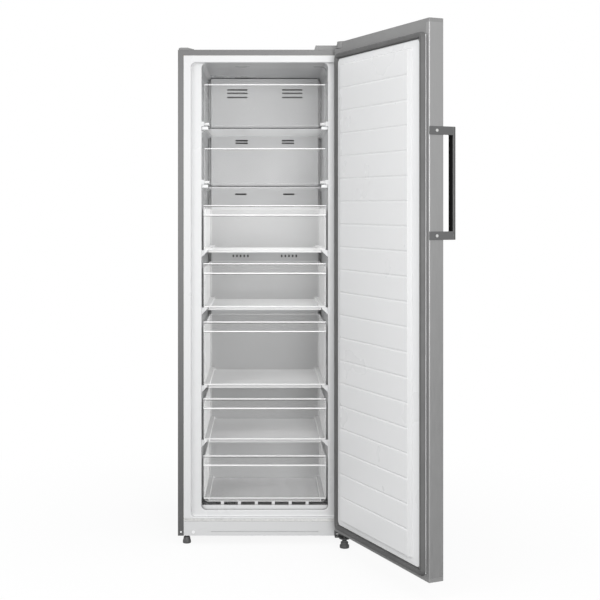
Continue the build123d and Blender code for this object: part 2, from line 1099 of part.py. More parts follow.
coil_plane = Plane(origin=(0, coil_y, 0), x_dir=(0, 0, 1), z_dir=(0, 1, 0))
coil_wire = serpentine(
    coil_plane,
    coil_bottom,
    coil_pitch,
    -coil_half_length,
    coil_half_length,
    coil_passes,
)
with BuildPart() as evaporator_coil:
    with BuildSketch(Plane(origin=coil_wire @ 0, z_dir=coil_wire % 0)) as section:
        Circle(coil_tube / 2)
    sweep(section.sketch, path=coil_wire)
save(evaporator_coil.part, "evaporator_coil")

fin_pitch = 2 * (coil_half_length - fin_margin) / (fin_count - 1)
with BuildPart() as evaporator_fins:
    for i in range(fin_count):
        x = -coil_half_length + fin_margin + i * fin_pitch
        with BuildSketch(side(x - fin_thickness / 2)) as fin:
            between(
                duct_front + duct_wall + fin_front_gap,
                cavity_back,
                coil_bottom - fin_margin,
                coil_top + fin_margin,
            )
            with Locations((coil_y, (coil_bottom + coil_top) / 2)):
                with GridLocations(0, coil_pitch, 1, coil_passes):
                    Circle(coil_tube / 2 + fin_fit, mode=Mode.SUBTRACT)
        extrude(fin.sketch, amount=fin_thickness)
save(evaporator_fins.part, "evaporator_fins")

heater_z = coil_bottom - heater_drop
with BuildPart() as defrost_heater:
    rod(side(-heater_half_length), coil_y, heater_z, heater_diameter, 2 * heater_half_length)
    for s in (-1, 1):
        slab(
            side(s * heater_half_length),
            coil_y - heater_clip_height / 2,
            cavity_back,
            heater_z - heater_clip_height / 2,
            heater_z + heater_clip_height / 2,
            -s * heater_clip,
        )
save(defrost_heater.part, "defrost_heater")

rotor_front = coil_y - fan_set_forward
motor_front = rotor_front + fan_length + motor_gap
motor_back = motor_front + motor_length
arm_front = motor_back - motor_arm_thickness
with BuildPart() as fan_motor:
    rod(front(motor_front), 0, fan_height, 2 * motor_radius, -motor_length)
    # three arms carry the motor from the liner's back wall
    for a in motor_arm_angles:
        x = motor_arm_reach * cos(a * pi / 180)
        z = motor_arm_reach * sin(a * pi / 180)
        rod(front(arm_front), x, fan_height + z, motor_boss, -(cavity_back - arm_front))
        with BuildSketch(front(arm_front)) as arm:
            with Locations((x / 2, fan_height + z / 2)):
                Rectangle(motor_arm_reach, motor_arm_width, rotation=a)
        extrude(arm.sketch, amount=-motor_arm_thickness)
    rod(front(rotor_front), 0, fan_height, fan_shaft, -(fan_length + motor_gap))
save(fan_motor.part, "fan_motor")

with BuildPart() as fan_rotor:
    rod(front(rotor_front), 0, fan_height, 2 * fan_hub_radius, -fan_length)
    for i in range(fan_blades):
        turn = i * 360 / fan_blades
        blade_plane = Plane(
            origin=(0, rotor_front + fan_length / 2, fan_height),
            x_dir=(cos(turn * pi / 180), 0, sin(turn * pi / 180)),
            z_dir=(
                -sin(turn * pi / 180) * cos(blade_pitch * pi / 180),
                sin(blade_pitch * pi / 180),
                cos(turn * pi / 180) * cos(blade_pitch * pi / 180),
            ),
        )
        with BuildSketch(blade_plane) as blade:
            with Locations((fan_hub_radius - blade_root, 0)):
                Rectangle(
                    fan_radius - fan_hub_radius,
                    blade_thickness,
                    align=(Align.MIN, Align.CENTER),
                )
        extrude(blade.sketch, amount=blade_chord / 2, both=True)
    rod(
        front(rotor_front),
        0,
        fan_height,
        fan_shaft + 2 * hinge_fit,
        -fan_length,
        mode=Mode.SUBTRACT,
    )
save(fan_rotor.part, "fan_rotor")

with BuildPart() as drain_tube:
    rod(level(step_top), drain_x, coil_y, drain_flange, drain_flange_thickness)
    rod(
        level(step_top),
        drain_x,
        coil_y,
        drain_outer - 2 * drain_fit,
        -(step_top - drain_end),
    )
    rod(
        level(step_top + drain_flange_thickness),
        drain_x,
        coil_y,
        drain_inner,
        -(step_top + drain_flange_thickness - drain_end),
        mode=Mode.SUBTRACT,
    )
save(drain_tube.part, "drain_tube")


# ---------------------------------------------------------------------------
# Machine space: compressor, pipes, tray and control box
# ---------------------------------------------------------------------------
plate_low = pan_top + grommet_height
body_low = plate_low + foot_plate_thickness
body_top = body_low + compressor_height
seam = body_low + compressor_height * pump_seam_share
grommet_spots = [
    (compressor_x + i * grommet_spread_x / 2, machine_middle + j * grommet_spread_y / 2)
    for i in (-1, 1)
    for j in (-1, 1)
]
terminal_x = compressor_x - compressor_radius - pad_reach
stub_x = compressor_x - compressor_radius - stub_reach
stub_spots = [
    (machine_middle + s * stub_offset, body_low + height)
    for s, height in zip((-1, 1), stub_heights)
]

with BuildPart() as compressor:
    r = compressor_radius
    pump_plane = Plane(origin=(compressor_x, machine_middle, 0), x_dir=(1, 0, 0), z_dir=(0, -1, 0))
    with BuildSketch(pump_plane) as half_section:
        with BuildLine():
            underside = Line((0, body_low), (r - pump_heel, body_low))
            heel = RadiusArc(underside @ 1, (r, body_low + pump_heel), -pump_heel)
            Polyline(
                heel @ 1,
                (r, seam),
                (r + pump_seam_width, seam),
                (r + pump_seam_width, seam + pump_seam_height),
                (r, seam + pump_seam_height),
                (r, body_top - pump_shoulder),
            )
            crown = RadiusArc(
                (r, body_top - pump_shoulder),
                (r - pump_shoulder, body_top),
                -pump_shoulder,
            )
            Polyline(crown @ 1, (0, body_top), (0, body_low))
        make_face()
    revolve(
        half_section.sketch,
        axis=Axis((compressor_x, machine_middle, 0), (0, 0, 1)),
    )
    # mounting plate on its four grommets
    with BuildSketch(level(plate_low)) as plate:
        with Locations((compressor_x, machine_middle)):
            RectangleRounded(
                grommet_spread_x + foot_plate_margin,
                grommet_spread_y + foot_plate_margin,
                foot_plate_corner,
            )
        with Locations(*grommet_spots):
            Circle(grommet_neck / 2 + grommet_fit, mode=Mode.SUBTRACT)
    extrude(plate.sketch, amount=foot_plate_thickness)
    # flat pad for the start relay, and two pipe stubs
    slab(
        side(terminal_x),
        machine_middle - pad_height / 2,
        machine_middle + pad_height / 2,
        body_low + pad_low,
        body_low + pad_low + pad_height,
        pad_reach + r / 2,
    )
    for y, z in stub_spots:
        rod(side(stub_x), y, z, pipe_diameter + 2 * stub_wall, stub_length)
save(compressor.part, "compressor")

with BuildPart() as compressor_grommets:
    for x, y in grommet_spots:
        rod(level(pan_top), x, y, grommet_diameter, grommet_height)
        rod(level(plate_low), x, y, grommet_neck, foot_plate_thickness + grommet_neck_rise)
save(compressor_grommets.part, "compressor_grommets")

with BuildPart() as start_relay:
    slab(
        side(terminal_x),
        machine_middle - pad_height / 2 + relay_margin,
        machine_middle + pad_height / 2 - relay_margin,
        body_low + pad_low + relay_margin,
        body_low + pad_low + pad_height - relay_margin,
        -relay_depth,
        radius=relay_corner,
    )
save(start_relay.part, "start_relay")

drier_y = machine_middle + drier_offset
with BuildPart() as filter_drier:
    rod(level(drier_low + drier_end), drier_x, drier_y, drier_diameter, drier_length - 2 * drier_end)
    for low, wide_above in ((drier_low, True), (drier_low + drier_length - drier_end, False)):
        with BuildSketch(level(low)) as lower_end:
            with Locations((drier_x, drier_y)):
                Circle(drier_neck / 2 if wide_above else drier_diameter / 2)
        with BuildSketch(level(low + drier_end)) as upper_end:
            with Locations((drier_x, drier_y)):
                Circle(drier_diameter / 2 if wide_above else drier_neck / 2)
        loft([lower_end.sketch.face(), upper_end.sketch.face()])
save(filter_drier.part, "filter_drier")

with BuildPart() as refrigerant_pipes:
    for (y, z), x_turn in zip(stub_spots, pipe_turns):
        tube(
            [(stub_x, y, z), (x_turn, y, z), (x_turn, y, machine_ceiling)],
            pipe_diameter,
            pipe_bend,
        )
    rod(
        level(drier_low + drier_length),
        drier_x,
        drier_y,
        pipe_diameter,
        machine_ceiling - drier_low - drier_length,
    )
    tube(
        [
            (drier_x, drier_y, drier_low),
            (drier_x, drier_y, capillary_low),
            (drier_x - capillary_loop, drier_y, capillary_low),
            (drier_x - capillary_loop, drier_y, machine_ceiling),
        ],
        capillary,
        capillary_bend,
    )
save(refrigerant_pipes.part, "refrigerant_pipes")

with BuildPart() as drip_tray:
    slab(
        level(body_top),
        compressor_x - tray_width / 2,
        compressor_x + tray_width / 2,
        machine_middle - tray_depth / 2,
        machine_middle + tray_depth / 2,
        tray_height,
        radius=tray_corner,
    )
    slab(
        level(body_top + tray_wall),
        compressor_x - tray_width / 2 + tray_wall,
        compressor_x + tray_width / 2 - tray_wall,
        machine_middle - tray_depth / 2 + tray_wall,
        machine_middle + tray_depth / 2 - tray_wall,
        tray_height,
        radius=tray_corner - tray_wall,
        mode=Mode.SUBTRACT,
    )
save(drip_tray.part, "drip_tray")

box_left = -inside_half + box_side_gap
box_right = box_left + box_width
box_back = back_face - box_back_gap
box_front = box_back - box_depth
box_top = pan_top + box_height
gland_x = (box_left + box_right) / 2
gland_z = pan_top + gland_rise

with BuildPart() as control_box:
    slab(level(pan_top), box_left, box_right, box_front, box_back, box_height, radius=box_corner)
    slab(
        level(pan_top),
        box_left + box_wall,
        box_right - box_wall,
        box_front + box_wall,
        box_back - box_wall,
        box_height - box_wall,
        radius=box_corner - box_wall,
        mode=Mode.SUBTRACT,
    )
    rod(
        front(box_back),
        gland_x,
        gland_z,
        gland_neck + 2 * gland_fit,
        box_wall,
        mode=Mode.SUBTRACT,
    )
    with BuildSketch(level(box_top)) as box_vents:
        with Locations((gland_x, (box_front + box_back) / 2)):
            with GridLocations(box_vent_pitch, 0, box_vent_count, 1):
                SlotOverall(box_vent_length, box_vent_width, rotation=90)
    extrude(box_vents.sketch, amount=-box_wall, mode=Mode.SUBTRACT)
save(control_box.part, "control_box")

# what stands on the board: middle and low edge, then width, height and reach
board_items = [
    (-40, 20, 30, 26, 22),
    (-6, 18, 18, 18, 16),
    (20, 24, 22, 34, 24),
    (-30, 62, 40, 16, 12),
    (18, 70, 14, 14, 26),
    (40, 72, 10, 10, 18),
]
board_y = box_front + board_set_back
with BuildPart() as control_board:
    slab(
        front(board_y),
        box_left + board_margin,
        box_right - board_margin,
        pan_top + board_margin,
        box_top - board_margin,
        -board_thickness,
    )
    for x in (box_left + board_foot_inset, box_right - board_foot_inset):
        slab(
            front(board_y + board_thickness),
            x - board_foot_width / 2,
            x + board_foot_width / 2,
            pan_top,
            pan_top + board_foot_height,
            -board_foot_width,
        )
    for x, z, wide, high, reach in board_items:
        slab(
            front(board_y + board_thickness),
            gland_x + x - wide / 2,
            gland_x + x + wide / 2,
            pan_top + z,
            pan_top + z + high,
            -reach,
        )
save(control_board.part, "control_board")

with BuildPart() as cord_gland:
    gland_length = gland_flange_thickness + box_wall + gland_flange_thickness
    rod(front(box_back + gland_flange_thickness), gland_x, gland_z, gland_flange, gland_flange_thickness)
    rod(front(box_back + gland_flange_thickness), gland_x, gland_z, gland_neck, gland_length)
    rod(
        front(box_back + gland_flange_thickness),
        gland_x,
        gland_z,
        gland_bore,
        gland_length,
        mode=Mode.SUBTRACT,
    )
save(cord_gland.part, "cord_gland")


# ---------------------------------------------------------------------------
# Glass shelves and their clips
# ---------------------------------------------------------------------------
shelf_half = cavity_half - shelf_side_gap
clip_outer = cavity_half - clip_side_gap
for name, top in zip(("upper_shelf", "lower_shelf"), shelf_tops):
    with BuildPart() as shelf:
        slab(
            level(top - shelf_thickness),
            -shelf_half,
            shelf_half,
            shelf_front,
            shelf_back,
            shelf_thickness,
            radius=shelf_corner,
        )
    save(shelf.part, name)

with BuildPart() as shelf_clips:
    for top in shelf_tops:
        for s in (-1, 1):
            x0, x1 = sorted((s * (clip_outer - clip_width), s * clip_outer))
            slab(
                front(shelf_front - clip_wall),
                x0,
                x1,
                top - shelf_thickness - clip_wall,
                top + clip_wall,
                -(clip_depth + clip_wall),
            )
            g0, g1 = sorted((0, s * shelf_half))
            slab(
                front(shelf_front),
                g0,
                g1,
                top - shelf_thickness,
                top,
                -clip_depth,
                mode=Mode.SUBTRACT,
            )
save(shelf_clips.part, "shelf_clips")


# ---------------------------------------------------------------------------
# Hinges, their covers and screws
# ---------------------------------------------------------------------------
plate_left = pin_x - hinge_plate_reach
plate_right = half_width - hinge_plate_side_gap
with BuildPart() as top_hinge_plate:
    with BuildSketch(level(cabinet_top)) as plate:
        between(plate_left, plate_right, hinge_plate_near, hinge_plate_far)
        between(pin_x - hinge_arm / 2, pin_x + hinge_arm / 2, pin_y, hinge_plate_near)
        with Locations((pin_x, pin_y)):
            Circle(hinge_arm / 2)
            Circle(hinge_pin / 2 + hinge_fit, mode=Mode.SUBTRACT)
        with Locations(*top_hinge_screws):
            Circle(screw_shank / 2, mode=Mode.SUBTRACT)
    extrude(plate.sketch, amount=hinge_plate)
save(top_hinge_plate.part, "top_hinge_plate")

bracket_right = half_width - bracket_side_gap
with BuildPart() as bottom_hinge_bracket:
    slab(front(0), bracket_left, bracket_right, bracket_low, bracket_high, bracket_plate)
    for z in (bracket_low, bracket_high - bracket_plate):
        with BuildSketch(level(z)) as plate:
            between(bracket_left, bracket_right, pin_y + bracket_neck, -bracket_plate)
            between(pin_x - bracket_ear, bracket_right, pin_y, -bracket_plate)
            with Locations((pin_x, pin_y)):
                Circle(bracket_ear)
                bore = foot_stud if z == bracket_low else hinge_pin
                Circle(bore / 2 + hinge_fit, mode=Mode.SUBTRACT)
        extrude(plate.sketch, amount=bracket_plate)
    for x, z in bottom_hinge_screws:
        rod(front(0), x, z, screw_shank, bracket_plate, mode=Mode.SUBTRACT)
save(bottom_hinge_bracket.part, "bottom_hinge_bracket")

plate_top = cabinet_top + hinge_plate
upper_pin_low = corner_cut_top - pin_reach
lower_pin_low = bracket_high - bracket_plate
with BuildPart() as hinge_pins:
    rod(level(upper_pin_low), pin_x, pin_y, hinge_pin, plate_top - upper_pin_low)
    rod(level(plate_top), pin_x, pin_y, pin_head, pin_head_height)
    rod(level(lower_pin_low), pin_x, pin_y, hinge_pin, door_bottom + pin_reach - lower_pin_low)
    # the door rests on this collar
    rod(level(bracket_high), pin_x, pin_y, pin_collar, door_bottom - collar_gap - bracket_high)
save(hinge_pins.part, "hinge_pins")

with BuildPart() as hinge_screws:
    for x, y in top_hinge_screws:
        pan_head(level(plate_top), x, y, hinge_plate + sheet)
    for x, z in bottom_hinge_screws:
        pan_head(front(-bracket_plate), x, z, bracket_plate + plinth_thickness + pan_sheet)
save(hinge_screws.part, "hinge_screws")

cover_right = half_width - cover_side_gap
cover_low = corner_cut_top + cover_drop


def cover_form(inset):
    """The hinge cover's outline, drawn in by inset, as far as the cabinet top reaches."""
    between(hinge_cover_left + inset, cover_right - inset, cover_near + inset, cover_far - inset)
    between(pin_x - knuckle_radius + inset, pin_x + knuckle_radius - inset, pin_y, cover_near + inset)
    with Locations((pin_x, pin_y)):
        Circle(knuckle_radius - inset)


with BuildPart() as top_hinge_cover:
    with BuildSketch(level(cabinet_top)) as outline:
        cover_form(0)
    extrude(outline.sketch, amount=hinge_cover_top - cabinet_top)
    rod(level(cover_low), pin_x, pin_y, 2 * knuckle_radius, knuckle_top - cover_low)
    slab(
        level(cover_low),
        pin_x - knuckle_radius,
        pin_x + knuckle_radius,
        pin_y,
        -cover_door_gap,
        cabinet_top - cover_low,
    )
    with BuildSketch(level(cover_low)) as hollow:
        with Locations((pin_x, pin_y)):
            Circle(knuckle_radius - hinge_cover_wall)
        between(
            pin_x - knuckle_radius + hinge_cover_wall,
            pin_x + knuckle_radius - hinge_cover_wall,
            pin_y,
            -cover_door_gap,
        )
    extrude(hollow.sketch, amount=cabinet_top - cover_low, mode=Mode.SUBTRACT)
    with BuildSketch(level(cabinet_top)) as hollow:
        cover_form(hinge_cover_wall)
    extrude(
        hollow.sketch,
        amount=hinge_cover_top - cabinet_top - hinge_cover_wall,
        mode=Mode.SUBTRACT,
    )
    rod(
        level(cabinet_top),
        pin_x,
        pin_y,
        2 * (knuckle_radius - hinge_cover_wall),
        knuckle_top - cabinet_top - hinge_cover_wall,
        mode=Mode.SUBTRACT,
    )
save(top_hinge_cover.part, "top_hinge_cover")

blank_left = -half_width + blank_side_gap
blank_right = blank_left + blank_cover_width
blank_points = [
    (blank_left, cabinet_top),
    (blank_left, cabinet_top + blank_cover_height - blank_edge),
    (blank_left + blank_bevel, cabinet_top + blank_cover_height),
    (blank_right - blank_slope, cabinet_top + blank_cover_height),
    (blank_right, cabinet_top + blank_edge),
    (blank_right, cabinet_top),
]
with BuildPart() as hinge_blank_cover:
    prism(front(cover_near + blank_edge), blank_points, -(cover_far - cover_near))
    slab(
        level(cabinet_top),
        blank_left + hinge_cover_wall,
        blank_right - blank_slope - hinge_cover_wall,
        cover_near + blank_edge + hinge_cover_wall,
        cover_far + blank_edge - hinge_cover_wall,
        blank_cover_height - blank_edge - hinge_cover_wall,
        mode=Mode.SUBTRACT,
    )
save(hinge_blank_cover.part, "hinge_blank_cover")

with BuildPart() as roller_axles:
    reach = ear_inner + roller_ear + roller_side_gap
    for s in (-1, 1):
        rod(
            side(s * roller_x - reach),
            roller_y,
            roller_radius,
            axle_diameter - 2 * axle_fit,
            2 * reach,
        )
save(roller_axles.part, "roller_axles")


# ---------------------------------------------------------------------------
# Door: skin, caps, liner, foam and gasket, drawn closed and swung open
# ---------------------------------------------------------------------------
def facing_in(y):
    """An upright plane that faces into the cabinet: sketch X is minus X, sketch Y is Z."""
    return Plane(origin=(0, y, 0), x_dir=(-1, 0, 0), z_dir=(0, 1, 0))


liner_top = gasket_top - gasket_width / 2
liner_bottom = gasket_bottom + gasket_width / 2
frame_top = gasket_top - gasket_width - door_frame_gap
frame_bottom = gasket_bottom + gasket_width + door_frame_gap


def door_bulge(wall):
    """The raised frame and the plateau of the door's inner side, drawn in by the wall."""
    plateau_half = plateau_width / 2
    slab(
        swung(facing_in(door_inner - wall)),
        -door_frame_half + wall,
        door_frame_half - wall,
        frame_bottom + wall,
        frame_top - wall,
        door_frame_rise,
        radius=door_frame_radius - wall,
    )
    with BuildSketch(swung(facing_in(door_inner + door_frame_rise - wall))) as base:
        between(
            -plateau_half + wall,
            plateau_half - wall,
            plateau_bottom + wall,
            plateau_top - wall,
            door_frame_radius - wall,
        )
    extrude(base.sketch, amount=plateau_rise, taper=plateau_slope)


with BuildPart() as door_hollow:
    door_bulge(door_liner_wall)

with BuildPart() as door_skin:
    with BuildSketch(swung(level(skin_bottom))) as outline:
        between(-half_width, half_width, door_outer, door_inner, door_skin_bend)
        between(
            -inside_half,
            inside_half,
            door_outer + sheet,
            door_inner - sheet,
            door_skin_bend - sheet,
            mode=Mode.SUBTRACT,
        )
        between(
            -return_half,
            return_half,
            door_inner - 2 * sheet,
            door_inner + sheet,
            mode=Mode.SUBTRACT,
        )
    extrude(outline.sketch, amount=skin_top - skin_bottom)
    slab(
        swung(level(corner_under)),
        corner_left,
        half_width + cut_over,
        door_outer - cut_over,
        door_inner + cut_over,
        skin_top,
        mode=Mode.SUBTRACT,
    )
    for z in (handle_bottom, handle_top - handle_bracket_height):
        rod(
            swung(side(-half_width)),
            (door_outer + door_inner) / 2,
            z + handle_bracket_height / 2,
            screw_shank,
            sheet,
            mode=Mode.SUBTRACT,
        )
save(door_skin.part, "door_skin")

bush_hole = hinge_pin + 2 * hinge_fit
with BuildPart() as door_top_cap:
    slab(
        swung(level(skin_top)),
        -half_width,
        corner_left,
        door_outer,
        door_inner,
        cap_height,
        radius=door_skin_bend,
    )
    slab(
        swung(level(corner_under)),
        corner_left,
        half_width,
        door_outer,
        door_inner,
        cap_height,
        radius=door_skin_bend,
    )
    # riser between the two levels, inside the skin
    slab(
        swung(level(corner_under)),
        corner_left - cap_flange,
        corner_left + door_skin_bend,
        door_outer + sheet,
        door_inner - sheet,
        cap_height,
    )
    slab(
        swung(level(corner_under)),
        corner_left - cap_flange,
        corner_left,
        door_outer + sheet,
        door_inner - sheet,
        skin_top - corner_under,
    )
    # flange down the inner side, ending under the gasket
    slab(
        swung(front(door_inner)),
        -return_half,
        return_half,
        liner_top,
        corner_under,
        cap_flange,
    )
    slab(
        swung(front(door_inner)),
        -return_half,
        corner_left,
        corner_under,
        skin_top,
        cap_flange,
    )
    rod(swung(level(corner_under)), pin_x, pin_y, bush_diameter, -(bush_length - cap_height))
    rod(
        swung(level(corner_cut_top)),
        pin_x,
        pin_y,
        bush_hole,
        -(bush_length - bush_floor),
        mode=Mode.SUBTRACT,
    )
save(door_top_cap.part, "door_top_cap")

with BuildPart() as door_bottom_cap:
    slab(
        swung(level(door_bottom)),
        -half_width,
        half_width,
        door_outer,
        door_inner,
        cap_height,
        radius=door_skin_bend,
    )
    slab(
        swung(front(door_inner)),
        -return_half,
        return_half,
        skin_bottom,
        liner_bottom,
        cap_flange,
    )
    rod(swung(level(skin_bottom)), pin_x, pin_y, bush_diameter, bush_length - cap_height)
    rod(
        swung(level(door_bottom)),
        pin_x,
        pin_y,
        bush_hole,
        bush_length - bush_floor,
        mode=Mode.SUBTRACT,
    )
save(door_bottom_cap.part, "door_bottom_cap")

with BuildPart() as door_liner:
    slab(
        swung(front(door_inner)),
        -return_half + rim_gap,
        return_half - rim_gap,
        liner_bottom + rim_gap,
        liner_top - rim_gap,
        door_liner_wall,
    )
    door_bulge(0)
    add(door_hollow.part, mode=Mode.SUBTRACT)
    # V-shaped grooves across the plateau
    plateau_face = door_inner + door_frame_rise + plateau_rise
    for i in range(ridge_count):
        z = ridge_top - i * ridge_pitch
        prism(
            swung(side(-ridge_length / 2)),
            [
                (plateau_face - ridge_depth, z),
                (plateau_face, z + ridge_height / 2),
                (plateau_face + cut_over, z + ridge_height / 2),
                (plateau_face + cut_over, z - ridge_height / 2),
                (plateau_face, z - ridge_height / 2),
            ],
            ridge_length,
            mode=Mode.SUBTRACT,
        )
save(door_liner.part, "door_liner")

with BuildPart() as door_foam:
    slab(
        swung(level(skin_bottom)),
        -inside_half,
        inside_half,
        door_outer + sheet,
        door_inner - door_liner_wall,
        skin_top - skin_bottom,
        radius=door_skin_bend,
    )
    add(door_hollow.part)
    slab(
        swung(level(corner_under)),
        corner_left - cap_flange,
        half_width + cut_over,
        door_outer - cut_over,
        door_inner + cut_over,
        skin_top,
        mode=Mode.SUBTRACT,
    )
    rod(
        swung(level(corner_under)),
        pin_x,
        pin_y,
        bush_diameter,
        -(bush_length - cap_height),
        mode=Mode.SUBTRACT,
    )
    rod(
        swung(level(skin_bottom)),
        pin_x,
        pin_y,
        bush_diameter,
        bush_length - cap_height,
        mode=Mode.SUBTRACT,
    )
save(door_foam.part, "door_foam")

with BuildPart() as door_gasket:
    with BuildSketch(swung(facing_in(door_inner))) as ring:
        between(
            -gasket_outer_half,
            gasket_outer_half,
            gasket_bottom,
            gasket_top,
            gasket_corner,
        )
    extrude(ring.sketch, amount=gasket_thickness)
    lip = (
        door_gasket.faces()
        .filter_by(swung(facing_in(door_inner)))
        .sort_by(Axis(origin=(0, 0, 0), direction=swung(facing_in(0)).z_dir))[-1]
    )
    chamfer(lip.edges(), gasket_chamfer)
    slab(
        swung(facing_in(door_inner)),
        -gasket_inner_half,
        gasket_inner_half,
        gasket_bottom + gasket_width,
        gasket_top - gasket_width,
        gasket_thickness,
        radius=door_frame_radius,
        mode=Mode.SUBTRACT,
    )
save(door_gasket.part, "door_gasket")


# ---------------------------------------------------------------------------
# Handle on the door's free edge
# ---------------------------------------------------------------------------
handle_side = -half_width - handle_bracket_thickness
bar_front = door_outer - handle_standoff
bar_back = bar_front + handle_bar_thickness
with BuildPart() as handle_bar:
    slab(
        swung(level(handle_bottom)),
        handle_side,
        handle_side + handle_bar_width,
        bar_front,
        bar_back,
        handle_top - handle_bottom,
        radius=handle_corner,
    )
save(handle_bar.part, "handle_bar")

for name, low in (
    ("handle_upper_bracket", handle_top - handle_bracket_height),
    ("handle_lower_bracket", handle_bottom),
):
    with BuildPart() as bracket:
        slab(
            swung(side(handle_side)),
            bar_back,
            door_inner,
            low,
            low + handle_bracket_height,
            handle_bracket_thickness,
        )
        # tab behind the bar
        slab(
            swung(front(bar_back + handle_bracket_thickness)),
            handle_side,
            handle_side + handle_bar_width - handle_tab_setback,
            low,
            low + handle_bracket_height,
            handle_bracket_thickness,
        )
        rod(
            swung(side(handle_side)),
            (door_outer + door_inner) / 2,
            low + handle_bracket_height / 2,
            screw_shank,
            handle_bracket_thickness,
            mode=Mode.SUBTRACT,
        )
    save(bracket.part, name)

with BuildPart() as handle_screws:
    for low in (handle_bottom, handle_top - handle_bracket_height):
        y = (door_outer + door_inner) / 2
        z = low + handle_bracket_height / 2
        rod(swung(side(handle_side)), y, z, screw_head, -handle_screw_head_height)
        rod(swung(side(handle_side)), y, z, screw_shank, handle_bracket_thickness + sheet)
save(handle_screws.part, "handle_screws")


# ---------------------------------------------------------------------------
# Drawers
# ---------------------------------------------------------------------------
for number, (bottom, top, depth) in enumerate(
    zip(drawer_bottoms, drawer_tops, basket_depths), start=1
):
    with BuildPart() as drawer_front:
        with BuildSketch(front(front_back)) as panel:
            between(-drawer_half, drawer_half, bottom, top)
            fillet(panel.vertices().group_by(Axis.Y)[0], front_corner)
        extrude(panel.sketch, amount=front_wall)
        # hooked grip band along the top, open underneath for the fingers
        slab(
            front(front_face),
            -drawer_half,
            drawer_half,
            top - front_wall,
            top,
            grip_reach,
        )
        slab(
            front(front_face - grip_reach + front_wall),
            -drawer_half,
            drawer_half,
            top - grip_height,
            top,
            front_wall,
        )
        for s in (-1, 1):
            slab(
                side(s * drawer_half),
                front_face - grip_reach,
                front_face,
                top - grip_height,
                top,
                -s * front_wall,
            )
        # low rib across the panel
        slab(
            front(front_face),
            -drawer_half + front_corner,
            drawer_half - front_corner,
            bottom + low_rib_rise,
            bottom + low_rib_rise + low_rib_height,
            low_rib_reach,
        )
    save(drawer_front.part, "drawer_" + str(number) + "_front")

    step_z = bottom + rail_rise + run_clearance
    rim = top - basket_drop
    back = front_back + depth
    with BuildPart() as basket:
        slab(
            level(bottom),
            -keel_half,
            keel_half,
            front_back,
            back,
            step_z - bottom,
            radius=basket_corner,
        )
        slab(
            level(step_z),
            -basket_half,
            basket_half,
            front_back,
            back,
            rim - step_z,
            radius=basket_corner,
        )
        slab(
            level(bottom + basket_wall),
            -keel_half + basket_wall,
            keel_half - basket_wall,
            front_back + basket_wall,
            back - basket_wall,
            rim,
            radius=basket_corner - basket_wall,
            mode=Mode.SUBTRACT,
        )
        slab(
            level(step_z + basket_wall),
            -basket_half + basket_wall,
            basket_half - basket_wall,
            front_back + basket_wall,
            back - basket_wall,
            rim,
            radius=basket_corner - basket_wall,
            mode=Mode.SUBTRACT,
        )
    save(basket.part, "drawer_" + str(number) + "_basket")


# ---------------------------------------------------------------------------
# Flaps
# ---------------------------------------------------------------------------
flap_half = cavity_half - flap_side_gap
for name, shelf_top, pivot, top in zip(
    ("upper_flap", "lower_flap"), shelf_tops, flap_pivots, flap_tops
):
    with BuildPart() as flap:
        slab(
            front(flap_depth + flap_wall / 2),
            -flap_half,
            flap_half,
            shelf_top + flap_lift,
            top,
            flap_wall,
        )
        # grip lip in the middle of the top edge
        slab(
            front(flap_depth),
            -flap_lip_length / 2,
            flap_lip_length / 2,
            top - flap_wall,
            top,
            flap_wall / 2 + flap_lip_reach,
        )
        for s in (-1, 1):
            rod(side(s * flap_half), flap_depth, pivot, flap_boss, -s * flap_boss_length)
            rod(side(s * flap_half), flap_depth, pivot, flap_pin, s * (flap_side_gap - flap_end_gap))
    save(flap.part, name)


# ---------------------------------------------------------------------------
# Feet and rollers
# ---------------------------------------------------------------------------
with BuildPart() as left_foot:
    rod(level(0), left_foot_x, left_foot_y, left_foot_diameter, left_foot_pad)
    with BuildSketch(level(left_foot_pad)) as wide:
        with Locations((left_foot_x, left_foot_y)):
            Circle(left_foot_diameter / 2)
    with BuildSketch(level(left_foot_height)) as narrow:
        with Locations((left_foot_x, left_foot_y)):
            Circle(left_foot_neck / 2)
    loft([wide.sketch.face(), narrow.sketch.face()])
    rod(
        level(left_foot_height),
        left_foot_x,
        left_foot_y,
        foot_stud,
        pan_top + weld_nut_height + stud_end - left_foot_height,
    )
save(left_foot.part, "left_foot")

with BuildPart() as right_foot:
    tier_low = 0.0
    for wide, high in zip(right_foot_diameters, right_foot_tiers):
        rod(level(tier_low), pin_x, pin_y, wide, high)
        tier_low = tier_low + high
    rod(
        level(tier_low),
        pin_x,
        pin_y,
        foot_stud,
        bracket_high - bracket_plate - foot_top_gap - tier_low,
    )
save(right_foot.part, "right_foot")

for name, s in (("left_roller", -1), ("right_roller", 1)):
    with BuildPart() as roller:
        rod(
            side(s * roller_x - roller_width / 2),
            roller_y,
            roller_radius,
            2 * roller_radius,
            roller_width,
        )
        rod(
            side(s * roller_x - roller_width / 2),
            roller_y,
            roller_radius,
            axle_diameter + 2 * hinge_fit,
            roller_width,
            mode=Mode.SUBTRACT,
        )
    save(roller.part, name)
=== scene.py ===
# %% [markdown]
# # An upright freezer with its door open
#
# The freezer comes in as a fixed frame: every piece is already at its real size and place,
# in metres, with X to the viewer's right, Y into the cabinet and Z up from the floor. This
# lesson gives each piece its finish, and rounds, profiles or rebuilds the pieces whose look
# depends on more than their size. Nothing in the frame is moved.

# %% Load the frame
import json
from math import pi, radians

import bmesh
import bpy
from mathutils import Matrix, Vector


